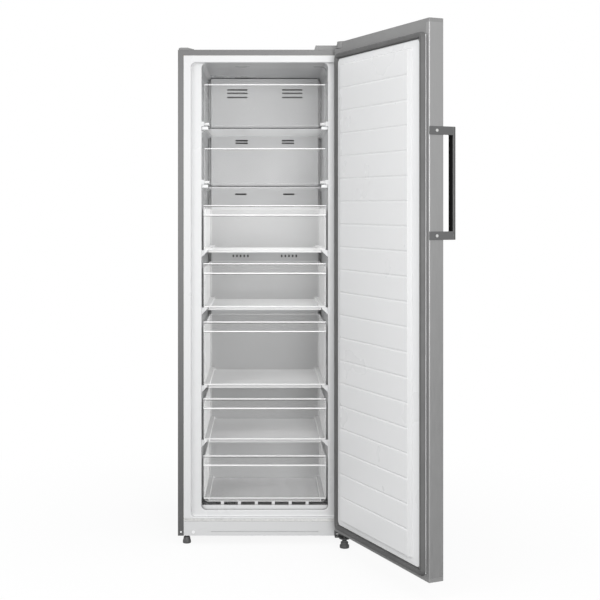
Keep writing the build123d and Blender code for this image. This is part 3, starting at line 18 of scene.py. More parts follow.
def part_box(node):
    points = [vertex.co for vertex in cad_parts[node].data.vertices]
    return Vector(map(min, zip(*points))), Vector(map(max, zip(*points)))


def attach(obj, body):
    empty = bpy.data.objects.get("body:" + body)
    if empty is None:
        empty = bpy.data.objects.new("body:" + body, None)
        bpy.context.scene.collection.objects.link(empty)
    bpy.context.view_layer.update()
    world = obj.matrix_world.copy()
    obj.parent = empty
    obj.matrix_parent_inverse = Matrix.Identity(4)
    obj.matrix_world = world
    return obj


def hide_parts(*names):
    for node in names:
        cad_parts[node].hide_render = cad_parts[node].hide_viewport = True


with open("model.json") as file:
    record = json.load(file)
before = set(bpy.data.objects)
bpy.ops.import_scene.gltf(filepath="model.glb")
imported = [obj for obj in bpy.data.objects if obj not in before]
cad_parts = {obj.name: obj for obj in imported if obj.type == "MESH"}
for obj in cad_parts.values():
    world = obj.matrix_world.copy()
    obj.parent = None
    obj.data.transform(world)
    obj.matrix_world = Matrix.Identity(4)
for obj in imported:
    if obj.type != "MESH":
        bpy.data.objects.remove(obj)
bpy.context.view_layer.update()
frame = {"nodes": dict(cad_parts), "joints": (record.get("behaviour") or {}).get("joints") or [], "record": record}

MM = 0.001

# %% [markdown]
# ## The camera
#
# In the photograph the cabinet's upright edges stay parallel, so the camera looked level
# and straight along +Y, and the picture was framed by shifting the lens. The ridges on the
# open door meet at the height of the eye and give the distance. The pixel where the view
# axis meets the picture is kept here, and the shift follows from it.

# %% Camera at the photograph's view
picture_px = 600
focal_px = 1140.0
axis_px = (264.8, 206.1)
eye = Vector((0.0, -3.903, 1.1576))

lens = bpy.data.cameras.new("camera")
lens.sensor_width = 36.0
lens.lens = lens.sensor_width * focal_px / picture_px
lens.shift_x = (picture_px / 2 - axis_px[0]) / picture_px
lens.shift_y = (axis_px[1] - picture_px / 2) / picture_px
camera = bpy.data.objects.new("camera", lens)
camera.location = eye
camera.rotation_euler = (radians(90), 0, 0)
bpy.context.scene.collection.objects.link(camera)
bpy.context.scene.camera = camera
bpy.context.scene.view_settings.view_transform = "Standard"
print("lens", round(lens.lens, 1), "mm, shift", round(lens.shift_x, 4), round(lens.shift_y, 4))

# %% [markdown]
# ## Small helpers for node materials
#
# Every finish below starts from one Principled shader. A finish that looks real has a
# little unevenness: brushing, moulding flow, orange peel, dust. These helpers read a noise
# from Object coordinates, so it stays fixed to the piece when the piece moves, and send it
# to the roughness, the colour or a fine relief. Most of a noise's values lie between 0.3
# and 0.7, so that stretch is spread over the whole range that a finish asks for.


# %% Start a finish
def shader_of(material):
    """The material's Principled shader."""
    return material.node_tree.nodes["Principled BSDF"]


def start_finish(name, colour, roughness, metallic=0.0):
    """A material with one Principled shader."""
    material = bpy.data.materials.new(name)
    material.use_nodes = True
    shader = shader_of(material)
    shader.inputs["Base Color"].default_value = (*colour, 1.0)
    shader.inputs["Roughness"].default_value = roughness
    shader.inputs["Metallic"].default_value = metallic
    return material


def grey(value, warm=0.0):
    """A grey of the given linear value, a touch warmer or cooler."""
    return (value * (1 + warm), value, value * (1 - warm))


def grain(material, scale, stretch=(1.0, 1.0, 1.0), detail=3.0):
    """A noise fixed to the object, finer along the axes with a larger stretch."""
    nodes = material.node_tree.nodes
    links = material.node_tree.links
    place = nodes.new("ShaderNodeTexCoord")
    mapping = nodes.new("ShaderNodeMapping")
    mapping.inputs["Scale"].default_value = stretch
    noise = nodes.new("ShaderNodeTexNoise")
    noise.inputs["Scale"].default_value = scale
    noise.inputs["Detail"].default_value = detail
    links.new(place.outputs["Object"], mapping.inputs["Vector"])
    links.new(mapping.outputs["Vector"], noise.inputs["Vector"])
    return noise.outputs["Fac"]


# %% Spread a noise over a finish
noise_low, noise_high = 0.3, 0.7


def vary(material, fac, low, high):
    """Sends a noise to the roughness, between two values."""
    nodes = material.node_tree.nodes
    links = material.node_tree.links
    reach = nodes.new("ShaderNodeMapRange")
    reach.inputs["From Min"].default_value = noise_low
    reach.inputs["From Max"].default_value = noise_high
    reach.inputs["To Min"].default_value = low
    reach.inputs["To Max"].default_value = high
    links.new(fac, reach.inputs["Value"])
    links.new(reach.outputs["Result"], shader_of(material).inputs["Roughness"])


def tint(material, fac, dark, light, low=noise_low, high=noise_high):
    """Sends a value to the base colour: dark where it is low, light where it is high."""
    nodes = material.node_tree.nodes
    links = material.node_tree.links
    ramp = nodes.new("ShaderNodeValToRGB")
    ramp.color_ramp.elements[0].position = low
    ramp.color_ramp.elements[1].position = high
    ramp.color_ramp.elements[0].color = (*dark, 1.0)
    ramp.color_ramp.elements[1].color = (*light, 1.0)
    links.new(fac, ramp.inputs["Fac"])
    links.new(ramp.outputs["Color"], shader_of(material).inputs["Base Color"])


def relief(material, fac, height, strength):
    """Sends a noise to a fine relief of the given height in metres."""
    nodes = material.node_tree.nodes
    links = material.node_tree.links
    bump = nodes.new("ShaderNodeBump")
    bump.inputs["Distance"].default_value = height
    bump.inputs["Strength"].default_value = strength
    links.new(fac, bump.inputs["Height"])
    links.new(bump.outputs["Normal"], shader_of(material).inputs["Normal"])


# %% [markdown]
# ## Painted, brushed and bare metals
#
# The cabinet, the door and the handle are brushed steel: fine scratches that run one way,
# so the noise is stretched until it is a bundle of upright hairs, which spread the
# highlight. Brackets, tubes and the compressor are painted, with a faint orange peel.
# Screws, pins and the base are zinc-plated, with a cloudy bloom instead of a direction.


# %% Metal finishes
def painted_steel(name, shade, roughness):
    """Sprayed enamel over sheet steel, with its orange peel."""
    cool = -0.01
    material = start_finish(name, grey(shade, cool), roughness)
    shader = shader_of(material)
    shader.inputs["Coat Weight"].default_value = 0.15
    shader.inputs["Coat Roughness"].default_value = 0.2
    vary(material, grain(material, 9.0), roughness - 0.05, roughness + 0.07)
    tint(material, grain(material, 3.0), grey(shade * 0.96, cool), grey(shade * 1.04, cool))
    relief(material, grain(material, 900.0, detail=1.0), 0.00003, 0.5)
    return material


def brushed_steel(name, shade, roughness):
    """Steel brushed up and down, so the noise hardly changes along Z."""
    material = start_finish(name, grey(shade), roughness, metallic=0.75)
    scratches = grain(material, 1400.0, stretch=(1.0, 1.0, 0.012), detail=4.0)
    vary(material, scratches, roughness - 0.08, roughness + 0.10)
    tint(material, scratches, grey(shade * 0.94), grey(shade * 1.05))
    relief(material, scratches, 0.00002, 0.35)
    return material


def bare_metal(name, colour, roughness, cloud=40.0):
    """Plated or drawn metal with a cloudy bloom."""
    material = start_finish(name, colour, roughness, metallic=1.0)
    bloom = grain(material, cloud, detail=4.0)
    vary(material, bloom, roughness - 0.08, roughness + 0.12)
    tint(material, bloom, [c * 0.88 for c in colour], [min(c * 1.06, 1.0) for c in colour])
    relief(material, grain(material, 700.0), 0.00004, 0.4)
    return material


# %% The metals of the freezer
finishes = {
    "shell_steel": brushed_steel("cabinet steel", 0.135, 0.42),
    "dark_steel": painted_steel("bracket enamel", 0.10, 0.45),
    "black_enamel": painted_steel("compressor enamel", 0.012, 0.25),
    "dark_tube": painted_steel("painted tube", 0.03, 0.45),
    "door_steel": brushed_steel("brushed door steel", 0.35, 0.40),
    "handle_steel": brushed_steel("brushed handle steel", 0.50, 0.34),
    "zinc_steel": bare_metal("zinc plate", (0.74, 0.74, 0.73), 0.42, cloud=150.0),
    "copper": bare_metal("drawn copper", (0.75, 0.36, 0.20), 0.30),
    "aluminium_tube": bare_metal("drawn aluminium", (0.80, 0.81, 0.82), 0.32),
    "aluminium_fins": bare_metal("fin foil", (0.82, 0.83, 0.84), 0.28, cloud=12.0),
}
print("metals:", len(finishes))

# %% [markdown]
# ## Plastics, rubber and foam
#
# The inner liner is vacuum-formed plastic: white, glossy and very slightly wavy, because the
# sheet cools against a mould. Injection-moulded pieces such as the end caps are matt, with an
# etched grain. Rubber is matt and a little uneven. The foam has the cream colour and the
# open cells of sprayed polyurethane.


# %% Plastic finishes
cool_white = -0.006


def glossy_sheet(name, shade, roughness):
    """White sheet, a little wavy from its mould, in one plain tone."""
    material = start_finish(name, grey(shade, cool_white), roughness)
    vary(material, grain(material, 6.0), roughness - 0.05, roughness + 0.08)
    relief(material, grain(material, 22.0, detail=1.0), 0.00012, 0.25)
    return material


def formed_sheet(name, shade, roughness):
    """The same sheet, with the faint clouds of a drawn surface."""
    material = glossy_sheet(name, shade, roughness)
    tint(material, grain(material, 2.5), grey(shade * 0.985, cool_white), grey(shade, cool_white))
    return material


def moulded(name, shade, roughness, warm=0.0):
    """Injection-moulded plastic with an etched grain."""
    material = start_finish(name, grey(shade, warm), roughness)
    vary(material, grain(material, 14.0), roughness - 0.06, roughness + 0.08)
    tint(material, grain(material, 5.0), grey(shade * 0.94, warm), grey(shade * 1.05, warm))
    relief(material, grain(material, 1500.0, detail=2.0), 0.00004, 0.55)
    return material


def rubbery(name, shade):
    """Soft extruded or moulded rubber."""
    material = start_finish(name, grey(shade), 0.62)
    shader_of(material).inputs["Specular IOR Level"].default_value = 0.35
    vary(material, grain(material, 30.0), 0.52, 0.72)
    tint(material, grain(material, 10.0), grey(shade * 0.9), grey(shade * 1.08))
    relief(material, grain(material, 600.0), 0.00005, 0.4)
    return material


def rigid_foam(name):
    """Sprayed polyurethane with open cells at its cut faces."""
    material = start_finish(name, (0.80, 0.68, 0.40), 0.9)
    nodes = material.node_tree.nodes
    links = material.node_tree.links
    place = nodes.new("ShaderNodeTexCoord")
    cells = nodes.new("ShaderNodeTexVoronoi")
    cells.inputs["Scale"].default_value = 700.0
    links.new(place.outputs["Object"], cells.inputs["Vector"])
    tint(material, grain(material, 18.0), (0.72, 0.60, 0.34), (0.85, 0.74, 0.46))
    relief(material, cells.outputs["Distance"], 0.0004, 0.8)
    return material


# %% The plastics of the freezer
finishes["white_liner"] = formed_sheet("formed liner", 0.80, 0.30)
finishes["white_plastic"] = formed_sheet("white moulding", 0.82, 0.34)
finishes["duct_plastic"] = formed_sheet("duct cover sheet", 0.58, 0.36)
finishes["grey_plastic"] = moulded("grey moulding", 0.24, 0.5)
finishes["dark_plastic"] = moulded("black moulding", 0.022, 0.48)
finishes["gasket_grey"] = rubbery("gasket", 0.12)
finishes["rubber"] = rubbery("black rubber", 0.02)
finishes["foam"] = rigid_foam("foam")
foot_plastic = moulded("foot plastic", 0.085, 0.5)
# Finish of a near-black strip: painted shade on the handle bar's back.
handle_shade = moulded("handle painted shade", 0.004, 0.75)
shader_of(handle_shade).inputs["Specular IOR Level"].default_value = 0.2
print("finishes so far:", len(finishes))

# %% [markdown]
# ## White sheet with painted shade in its gaps
#
# Beside the drawers and under the lowest one the cavity's wall lies in a narrow gap, and
# the photograph shows it nearly black there. The renderer's own shadows stay paler,
# because the clear pieces let the light through, so the shade is painted into the colour:
# Ambient Occlusion measures how crowded a place is, and a colour ramp turns that into
# painted shade. It may only work in the mouth of the cavity: the shade fades with the
# depth behind the drawer fronts, it is held back above the lowest drawer's foot, and the
# rim in front of it stays white. Behind the duct cover, where only the air slots look in,
# the wall is painted dark all over, as painted shade. The plinth takes the first part
# alone, as painted shade in its shallow grooves. The cavity's white is a greyer copy of the
# liner's sheet, painted shade that tones down the lamps on it, and the slopes of the door
# liner's plateau take a greyer copy too, painted shade that tones down how brightly the
# lamps catch them.


# %% Helpers for gaps
def combine(nodes, links, operation, first, second):
    """One step of sums on two values, each a number or another node's output."""
    step = nodes.new("ShaderNodeMath")
    step.operation = operation
    for socket, value in zip(step.inputs, (first, second)):
        if isinstance(value, float):
            socket.default_value = value
        else:
            links.new(value, socket)
    return step.outputs["Value"]


def openness_of(material, reach):
    """How open a place is: 0 in a narrow gap, 1 with nothing within reach."""
    crowding = material.node_tree.nodes.new("ShaderNodeAmbientOcclusion")
    crowding.inputs["Distance"].default_value = reach
    crowding.samples = 8
    return crowding.outputs["AO"]


# %% Gap finishes
mouth_start = 17.0 * MM
mouth_end = 60.0 * MM
fade_per_metre = 7.0
side_lift = 0.35
foot_margin = 6.0 * MM
cover_wall = 6.0 * MM
cover_side = 4.0 * MM
cover_low, cover_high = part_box("air_duct_cover")
drawers_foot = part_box("drawer_5_front")[0].z + foot_margin
gap_low, gap_high = 0.25, 0.80


def only_in_the_mouth(material, openness):
    """Limits the painted shade to the cavity's mouth, and paints the wall behind the duct cover dark all over as
    painted shade.
    """
    nodes = material.node_tree.nodes
    links = material.node_tree.links
    place = nodes.new("ShaderNodeTexCoord")
    axes = nodes.new("ShaderNodeSeparateXYZ")
    links.new(place.outputs["Object"], axes.inputs["Vector"])
    x, y, z = axes.outputs["X"], axes.outputs["Y"], axes.outputs["Z"]
    inside = combine(nodes, links, "SUBTRACT", y, mouth_end)
    inside = combine(nodes, links, "MULTIPLY", inside, fade_per_metre)
    inside = combine(nodes, links, "MINIMUM", inside, 1.0)
    lift = combine(nodes, links, "GREATER_THAN", z, drawers_foot)
    lift = combine(nodes, links, "MULTIPLY", lift, side_lift)
    openness = combine(nodes, links, "ADD", openness, lift)
    openness = combine(nodes, links, "MAXIMUM", openness, inside)
    rim = combine(nodes, links, "LESS_THAN", y, mouth_start)
    openness = combine(nodes, links, "MAXIMUM", openness, rim)
    behind = combine(nodes, links, "GREATER_THAN", y, cover_low.y + cover_wall)
    across = combine(nodes, links, "ABSOLUTE", x, 0.0)
    across = combine(nodes, links, "LESS_THAN", across, cover_high.x - cover_side)
    above = combine(nodes, links, "GREATER_THAN", z, cover_low.z)
    hidden = combine(nodes, links, "MULTIPLY", behind, across)
    hidden = combine(nodes, links, "MULTIPLY", hidden, above)
    return combine(nodes, links, "SUBTRACT", openness, hidden)


# The cavity's sheet is a greyer copy of the liner's white, as painted shade, and the tint below paints shade into
# its crowded gaps.
cavity_shade = 0.67
cavity_sheet_and_shade = glossy_sheet("formed cavity with painted shade", cavity_shade, 0.30)
openness = only_in_the_mouth(cavity_sheet_and_shade, openness_of(cavity_sheet_and_shade, 45.0 * MM))
tint(cavity_sheet_and_shade, openness, grey(0.05), grey(cavity_shade, cool_white), gap_low, gap_high)
# The plinth's sheet paints shade into its grooves in the same way.
plinth_shade = 0.62
plinth_sheet_and_shade = glossy_sheet("plinth sheet with painted shade", plinth_shade, 0.38)
openness = openness_of(plinth_sheet_and_shade, 4.0 * MM)
tint(plinth_sheet_and_shade, openness, grey(0.12), grey(plinth_shade, cool_white), gap_low, gap_high)
# A greyer copy of the liner's sheet: painted shade for the slopes of the door liner's plateau.
slope_shade_liner = formed_sheet("liner with painted slope shade", 0.60, 0.36)
print("dark in the mouth, and behind y =", round(cover_low.y + cover_wall, 3), "m")

# %% [markdown]
# ## Clear plastic and glass
#
# The drawers and flaps are clear plastic about 2 mm thick. Seen straight on, such a sheet
# nearly vanishes; seen along its face, as the drawers' side walls are here, it turns milky
# and bright. Layer Weight gives exactly that: its Facing output drives the opacity and, as
# painted reflection, a paler colour, and gloss and sheen do the rest. The top drawer looks
# milkier than the others in the photograph, from the light that falls into it from above,
# so it takes a paler copy of the drawers' sheet as painted light; the flaps look clearer, so
# each has a sheet of its own. The glass of the shelves is done alike, but its cut edges
# swallow light, so they get a dark finish.


# %% Clear finishes
turned_away = 0.6


def clear_sheet(name, face_colour, edge_colour, face_on, edge_on, roughness):
    """A clear sheet whose opacity grows as it turns away, with a paler colour as painted reflection."""
    material = start_finish(name, face_colour, roughness)
    shader = shader_of(material)
    nodes = material.node_tree.nodes
    links = material.node_tree.links
    turned = nodes.new("ShaderNodeLayerWeight")
    opacity = nodes.new("ShaderNodeMapRange")
    opacity.interpolation_type = "SMOOTHSTEP"
    opacity.inputs["From Min"].default_value = turned_away
    opacity.inputs["To Min"].default_value = face_on
    opacity.inputs["To Max"].default_value = edge_on
    links.new(turned.outputs["Facing"], opacity.inputs["Value"])
    links.new(opacity.outputs["Result"], shader.inputs["Alpha"])
    # Painted reflection: the colour pales as the sheet turns away.
    tint(material, turned.outputs["Facing"], face_colour, edge_colour, 0.0, turned_away)
    shader.inputs["Sheen Weight"].default_value = 1.0
    shader.inputs["Sheen Roughness"].default_value = 0.4
    vary(material, grain(material, 8.0), roughness - 0.04, roughness + 0.06)
    relief(material, grain(material, 16.0, detail=1.0), 0.0001, 0.3)
    return material


# %% The clear pieces' finishes
finishes["clear_plastic"] = clear_sheet("clear plastic", grey(0.60), grey(0.97), 0.08, 0.94, 0.12)
# A paler copy of the drawers' clear sheet: painted light for the light that falls into the top drawer from above.
top_drawer_lit_plastic = clear_sheet("top drawer plastic, painted light", grey(0.95), grey(0.97), 0.09, 0.94, 0.14)
flap_finish = clear_sheet("clear flap", grey(0.90), grey(0.97), 0.03, 0.90, 0.10)
glass_face, glass_turned = (0.5, 0.56, 0.54), (0.8, 0.86, 0.84)
finishes["shelf_glass"] = clear_sheet("shelf glass", glass_face, glass_turned, 0.06, 0.6, 0.06)
finishes["heater_tube"] = clear_sheet("heater glass", grey(0.6), grey(0.8), 0.35, 0.9, 0.1)
# Painted highlight and painted shade for the rims of clear mouldings.
rim_highlight_paint = clear_sheet("painted highlight rim", grey(0.94), grey(0.96), 0.55, 0.95, 0.15)
rim_shade_paint = clear_sheet("painted shade rim", grey(0.10), grey(0.4), 0.30, 0.8, 0.15)
glass_edge = moulded("glass cut edge", 0.015, 0.4, warm=-0.15)
print("clear finishes are ready")

# %% [markdown]
# ## The circuit board
#
# Inside the control box a green board carries the relays. Its solder mask shows faint
# tracks, made from a grid of bricks on Object coordinates.


# %% Circuit board finish
def circuit_board(name):
    """Green solder mask over copper tracks."""
    material = start_finish(name, (0.01, 0.12, 0.05), 0.35)
    nodes = material.node_tree.nodes
    links = material.node_tree.links
    place = nodes.new("ShaderNodeTexCoord")
    turn = nodes.new("ShaderNodeMapping")
    turn.inputs["Rotation"].default_value = (radians(90), 0, 0)
    tracks = nodes.new("ShaderNodeTexBrick")
    tracks.inputs["Scale"].default_value = 160.0
    tracks.inputs["Color1"].default_value = (0.008, 0.10, 0.04, 1.0)
    tracks.inputs["Color2"].default_value = (0.012, 0.15, 0.06, 1.0)
    tracks.inputs["Mortar"].default_value = (0.03, 0.25, 0.10, 1.0)
    links.new(place.outputs["Object"], turn.inputs["Vector"])
    links.new(turn.outputs["Vector"], tracks.inputs["Vector"])
    links.new(tracks.outputs["Color"], shader_of(material).inputs["Base Color"])
    vary(material, grain(material, 60.0), 0.28, 0.45)
    return material


finishes["circuit_board"] = circuit_board("circuit board")
print("finishes in all:", len(finishes))

# %% [markdown]
# ## Finishing the pieces of the frame
#
# The record names a material slot for each node. A node whose shape is right keeps its
# mesh and only gets the finish of its slot. The plinth is paler in the photograph than
# its slot's other pieces, so it gets a sheet of its own.

# %% Give every node its finish
slot_of = {part["node"]: part["material_slot"] for part in frame["record"]["subparts"]}
for node, piece in frame["nodes"].items():
    piece.data.materials.clear()
    piece.data.materials.append(finishes[slot_of[node]])
# The plinth's own sheet also carries painted shade in its grooves.
frame["nodes"]["plinth_panel"].data.materials[0] = plinth_sheet_and_shade
print("finished", len(slot_of), "nodes")

# %% [markdown]
# ## Working on copies
#
# Sheet, moulded and formed pieces never have knife edges: the light that catches their
# small radii is most of what makes them look real. A node of the frame is loose triangles,
# so a copy is merged first and its flat faces are joined. Then its sharp edges can be
# bevelled.


# %% Copying and rounding
tiny = 0.01 * MM
flat = radians(0.5)
sharp_turn = radians(35)


def copied(node):
    """A merged copy of a node's mesh, with its flat faces joined."""
    bm = bmesh.new()
    bm.from_mesh(frame["nodes"][node].data)
    bmesh.ops.remove_doubles(bm, verts=bm.verts, dist=tiny)
    bmesh.ops.dissolve_limit(bm, angle_limit=flat, verts=bm.verts, edges=bm.edges)
    return bm


def sharp_edges(bm, where=None):
    """The edges that turn by more than sharp_turn; where may limit them to a place."""
    sharp = [edge for edge in bm.edges if edge.is_manifold]
    sharp = [edge for edge in sharp if edge.calc_face_angle(0.0) > sharp_turn]
    if where:
        sharp = [edge for edge in sharp if all(where(vert.co) for vert in edge.verts)]
    return sharp


def bevel(bm, edges, width, segments):
    """Rounds the given edges."""
    bmesh.ops.bevel(
        bm,
        geom=edges,
        offset=width,
        offset_type="OFFSET",
        affect="EDGES",
        segments=segments,
        profile=0.5,
        clamp_overlap=False,
        material=-1,
    )


def round_edges(bm, width, where=None, segments=2):
    """Rounds the sharp edges of a shape."""
    bevel(bm, sharp_edges(bm, where), width, segments)


# %% [markdown]
# ## From a shape to a piece
#
# A shape becomes a piece by the same steps each time: a mesh with its finishes, smooth
# shading that stops at sharp edges, a body to ride on, and the node that it stands for.
# Weighted normals keep the large faces flat to the light, so the small radii carry all
# the turning. Normals kept from the frame's own mesh no longer fit a bevelled one, so
# they are taken off.


# %% Finishing a piece
def finish_piece(name, bm, materials, body, stands_for=(), sharp=50):
    """Makes the object, shades it, and hangs it on its body."""
    bm.normal_update()
    mesh = bpy.data.meshes.new(name)
    bm.to_mesh(mesh)
    bm.free()
    if "custom_normal" in mesh.attributes:
        mesh.attributes.remove(mesh.attributes["custom_normal"])
    for material in materials:
        mesh.materials.append(material)
    mesh.shade_smooth()
    mesh.set_sharp_from_angle(angle=radians(sharp))
    piece = bpy.data.objects.new(name, mesh)
    bpy.context.scene.collection.objects.link(piece)
    even = piece.modifiers.new("even shading", "WEIGHTED_NORMAL")
    even.keep_sharp = True
    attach(piece, body)
    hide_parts(*stands_for)
    print(name, len(mesh.polygons), "faces")
    return piece


bodies = frame["record"]["behaviour"]["bodies"]
body_of = {node: body for body in bodies for node in bodies[body]}


def soften(node, width, where=None, sharp=50):
    """The node's shape again, with its sharp edges rounded."""
    bm = copied(node)
    round_edges(bm, width, where)
    materials = frame["nodes"][node].data.materials[:]
    finish_piece(node + "_rounded", bm, materials, body_of[node], [node], sharp)


# %% [markdown]
# ## The liner
#
# The liner is one sheet, drawn over a mould, so its mouth has generous radii that shine in
# the photograph. Two passes round them: one for the edges in the rim's front plane, one
# for those in the recess's floor plane. The rails and ribs keep the shape of the frame.

# %% Round the liner
rim_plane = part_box("inner_liner")[0].y
recess_plane = 15.0 * MM
in_plane = 0.1 * MM
mouth_radius = 3.2 * MM
mouth_half = 254.0 * MM
mouth_foot = 90.0 * MM
recess_top = 1634.0 * MM


def on_rim(at):
    """Whether a place lies on the mouth's edge in the rim's front plane."""
    return abs(at.y - rim_plane) < in_plane and abs(at.x) < mouth_half and at.z > mouth_foot


def on_recess(at):
    """Whether a place lies on the edge in the recess's floor plane."""
    return abs(at.y - recess_plane) < in_plane and at.z < recess_top


liner = copied("inner_liner")
for where in (on_rim, on_recess):
    round_edges(liner, mouth_radius, where, segments=4)
finish_piece("inner_liner_formed", liner, [cavity_sheet_and_shade], "cabinet", ["inner_liner"])

# %% [markdown]
# ## Moulded and folded pieces with small radii
#
# The covers, the caps and the brackets take one bevel each. The width is always less than
# half of the wall, because the two edges of a wall are both rounded. The plinth's grooves
# are so shallow that smooth shading would hide them, so its edges count as sharp from 12
# degrees on. The door's top cap steps down to the hinge corner, where its faces meet too
# finely to be rounded, so the edges in that plane are left alone.

# %% Round the small pieces
small_radii = {
    "air_duct_cover": 0.6,
    "plinth_screws": 0.5,
    "shelf_clips": 0.7,
    "top_hinge_cover": 0.6,
    "hinge_blank_cover": 0.6,
    "bottom_hinge_bracket": 0.6,
    "top_hinge_plate": 0.5,
    "door_bottom_cap": 0.7,
    "handle_upper_bracket": 0.8,
    "handle_lower_bracket": 0.8,
    "control_box": 0.6,
    "drip_tray": 0.6,
    "start_relay": 0.8,
}
for node, radius in small_radii.items():
    soften(node, radius * MM)
plinth_radius = 0.5 * MM
soften("plinth_panel", plinth_radius, sharp=12)
cap_radius = 0.7 * MM
cap_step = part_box("door_skin")[1].z
step_reach = 0.5 * MM
soften("door_top_cap", cap_radius, where=lambda at: abs(at.z - cap_step) > step_reach)

# %% [markdown]
# ## Drawer fronts and flaps
#
# A clear moulding shows itself by its rims: where the wall ends or turns, light is bent to
# the eye and draws a bright line, with a darker one beside it. Here those lines are painted:
# each front is cut across at those heights, and the narrow strips take a painted highlight
# or a painted shade. The walls' own cut edges are found by their width and take the painted
# highlight too.

# %% Painted bright and dim lines
cut_edge_width = 2.6 * MM


def cut_across(bm, z):
    """Cuts every face at a height."""
    bmesh.ops.bisect_plane(
        bm,
        geom=bm.verts[:] + bm.edges[:] + bm.faces[:],
        plane_co=(0, 0, z),
        plane_no=(0, 0, 1),
    )


def face_width(face):
    """About the shorter side of a face."""
    return 2 * face.calc_area() / face.calc_perimeter()


def mark_rims(bm, bright, dim):
    """Cut edges and the bright strips take the second finish, a painted highlight; the dim strips take the third,
    a painted shade.
    """
    for face in bm.faces:
        face.material_index = 1 if face_width(face) < cut_edge_width else 0
    for low, high in bright + dim:
        cut_across(bm, low)
        cut_across(bm, high)
    for face in bm.faces:
        z = face.calc_center_median().z
        if any(low < z < high for low, high in dim):
            face.material_index = 2
        if any(low < z < high for low, high in bright):
            face.material_index = 1


# %% Drawer fronts and flaps
line = 3.2 * MM
grip_height = 36.0 * MM
low_rib = 10.0 * MM
clear_radius = 0.6 * MM
drawers = range(1, 6)
drawer_sheets = {drawer: finishes["clear_plastic"] for drawer in drawers}
# The top drawer takes the paler copy, as painted light.
drawer_sheets[1] = top_drawer_lit_plastic


def clear_front(node, bright, dim, sheet):
    """A clear front with rounded edges and its bright and dim lines."""
    bm = copied(node)
    round_edges(bm, clear_radius)
    mark_rims(bm, bright, dim)
    looks = [sheet, rim_highlight_paint, rim_shade_paint]
    finish_piece(node + "_rounded", bm, looks, body_of[node], [node])


for drawer in drawers:
    node = f"drawer_{drawer}_front"
    bottom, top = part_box(node)[0].z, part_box(node)[1].z
    grip = top - grip_height
    clear_front(
        node,
        [(top - line, top), (grip, grip + line), (bottom + low_rib, bottom + low_rib + line)],
        [(top - 2 * line, top - line), (grip - line, grip)],
        drawer_sheets[drawer],
    )
for node in ("upper_flap", "lower_flap"):
    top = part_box(node)[1].z
    clear_front(node, [(top - line, top)], [], flap_finish)

# %% [markdown]
# ## Drawer baskets
#
# A basket's front wall is the front itself, so the copy of the node loses the wall behind
# it: it is cut behind its rounded corners, the section is closed, and the cut is drawn
# forward to the front.

# %% Drawer baskets
corner_depth = 8.5 * MM
for drawer in drawers:
    node = f"drawer_{drawer}_basket"
    tray = copied(node)
    low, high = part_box(node)
    cut = low.y + corner_depth
    bmesh.ops.bisect_plane(
        tray,
        geom=tray.verts[:] + tray.edges[:] + tray.faces[:],
        plane_co=(0, cut, 0),
        plane_no=(0, -1, 0),
        clear_outer=True,
    )
    section = [edge for edge in tray.edges if edge.is_boundary]
    bmesh.ops.contextual_create(tray, geom=section)
    for vert in tray.verts:
        if abs(vert.co.y - cut) < tiny:
            vert.co.y = low.y
    bmesh.ops.recalc_face_normals(tray, faces=tray.faces)
    # The basket's top rim takes the painted highlight.
    mark_rims(tray, [(high.z - line, high.z)], [])
    print("section edges", len(section), "open", sum(edge.is_boundary for edge in tray.edges))
    looks = [drawer_sheets[drawer], rim_highlight_paint, rim_shade_paint]
    finish_piece(node + "_tray", tray, looks, body_of[node], [node])

# %% [markdown]
# ## The glass shelves
#
# A shelf is 4 mm toughened glass with ground edges. Its front edge is the dark line that
# crosses the photograph: light that enters the sheet is swallowed on its long way through.
# The slab starts as a cube, is sized from the node's box, and its front faces take the
# second finish.

# %% Glass shelves
ground_edge = 0.6 * MM
faces_front = -0.5


def block(low, high, radius, segments):
    """A block between two corners, with rounded edges."""
    bm = bmesh.new()
    bmesh.ops.create_cube(bm, size=1.0)
    bmesh.ops.scale(bm, vec=high - low, verts=bm.verts)
    bmesh.ops.translate(bm, vec=(low + high) / 2, verts=bm.verts)
    round_edges(bm, radius, segments=segments)
    return bm


for node in ("upper_shelf", "lower_shelf"):
    glass = block(*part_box(node), ground_edge, segments=2)
    for face in glass.faces:
        face.normal_update()
        face.material_index = 1 if face.normal.y < faces_front else 0
    looks = [finishes["shelf_glass"], glass_edge]
    finish_piece(node + "_glass", glass, looks, "cabinet", [node])

# %% [markdown]
# ## Working on the open door
#
# The door stands open by more than a right angle, which makes it awkward to model. Its
# pieces are therefore made as if it were shut, where every face lies along an axis, and are
# swung open about the hinge pin as the last step.

# %% The door's swing
hinge = next(joint for joint in frame["joints"] if joint["name"] == "door_hinge")
pin = Vector(hinge["pos_m"])
door_angle = radians(-hinge["range_deg"][0])
open_door = Matrix.Translation(pin) @ Matrix.Rotation(door_angle, 4, "Z") @ Matrix.Translation(-pin)
shut_door = open_door.inverted()


def shut_box(node):
    """A door node's lowest and highest corners with the door shut."""
    corners = [shut_door @ vert.co for vert in frame["nodes"][node].data.vertices]
    low = Vector(min(corner[i] for corner in corners) for i in range(3))
    high = Vector(max(corner[i] for corner in corners) for i in range(3))
    return low, high


def finish_on_door(name, bm, materials, stands_for=(), sharp=50):
    """Swings a piece open with the door and finishes it."""
    bmesh.ops.transform(bm, matrix=open_door, verts=bm.verts)
    return finish_piece(name, bm, materials, "door", stands_for, sharp)


print("door open by", round(door_angle * 180 / pi, 1), "degrees")

# %% [markdown]
# ## The door's inner liner
#
# Behind the gasket lies a flat flange. From it rises a frame, and from the frame a plateau
# with sloping sides and 19 grooves. All of it grows from one face: inset to the frame,
# extrude, inset to the plateau, raise it with a draft, then round the corners and the
# edges.


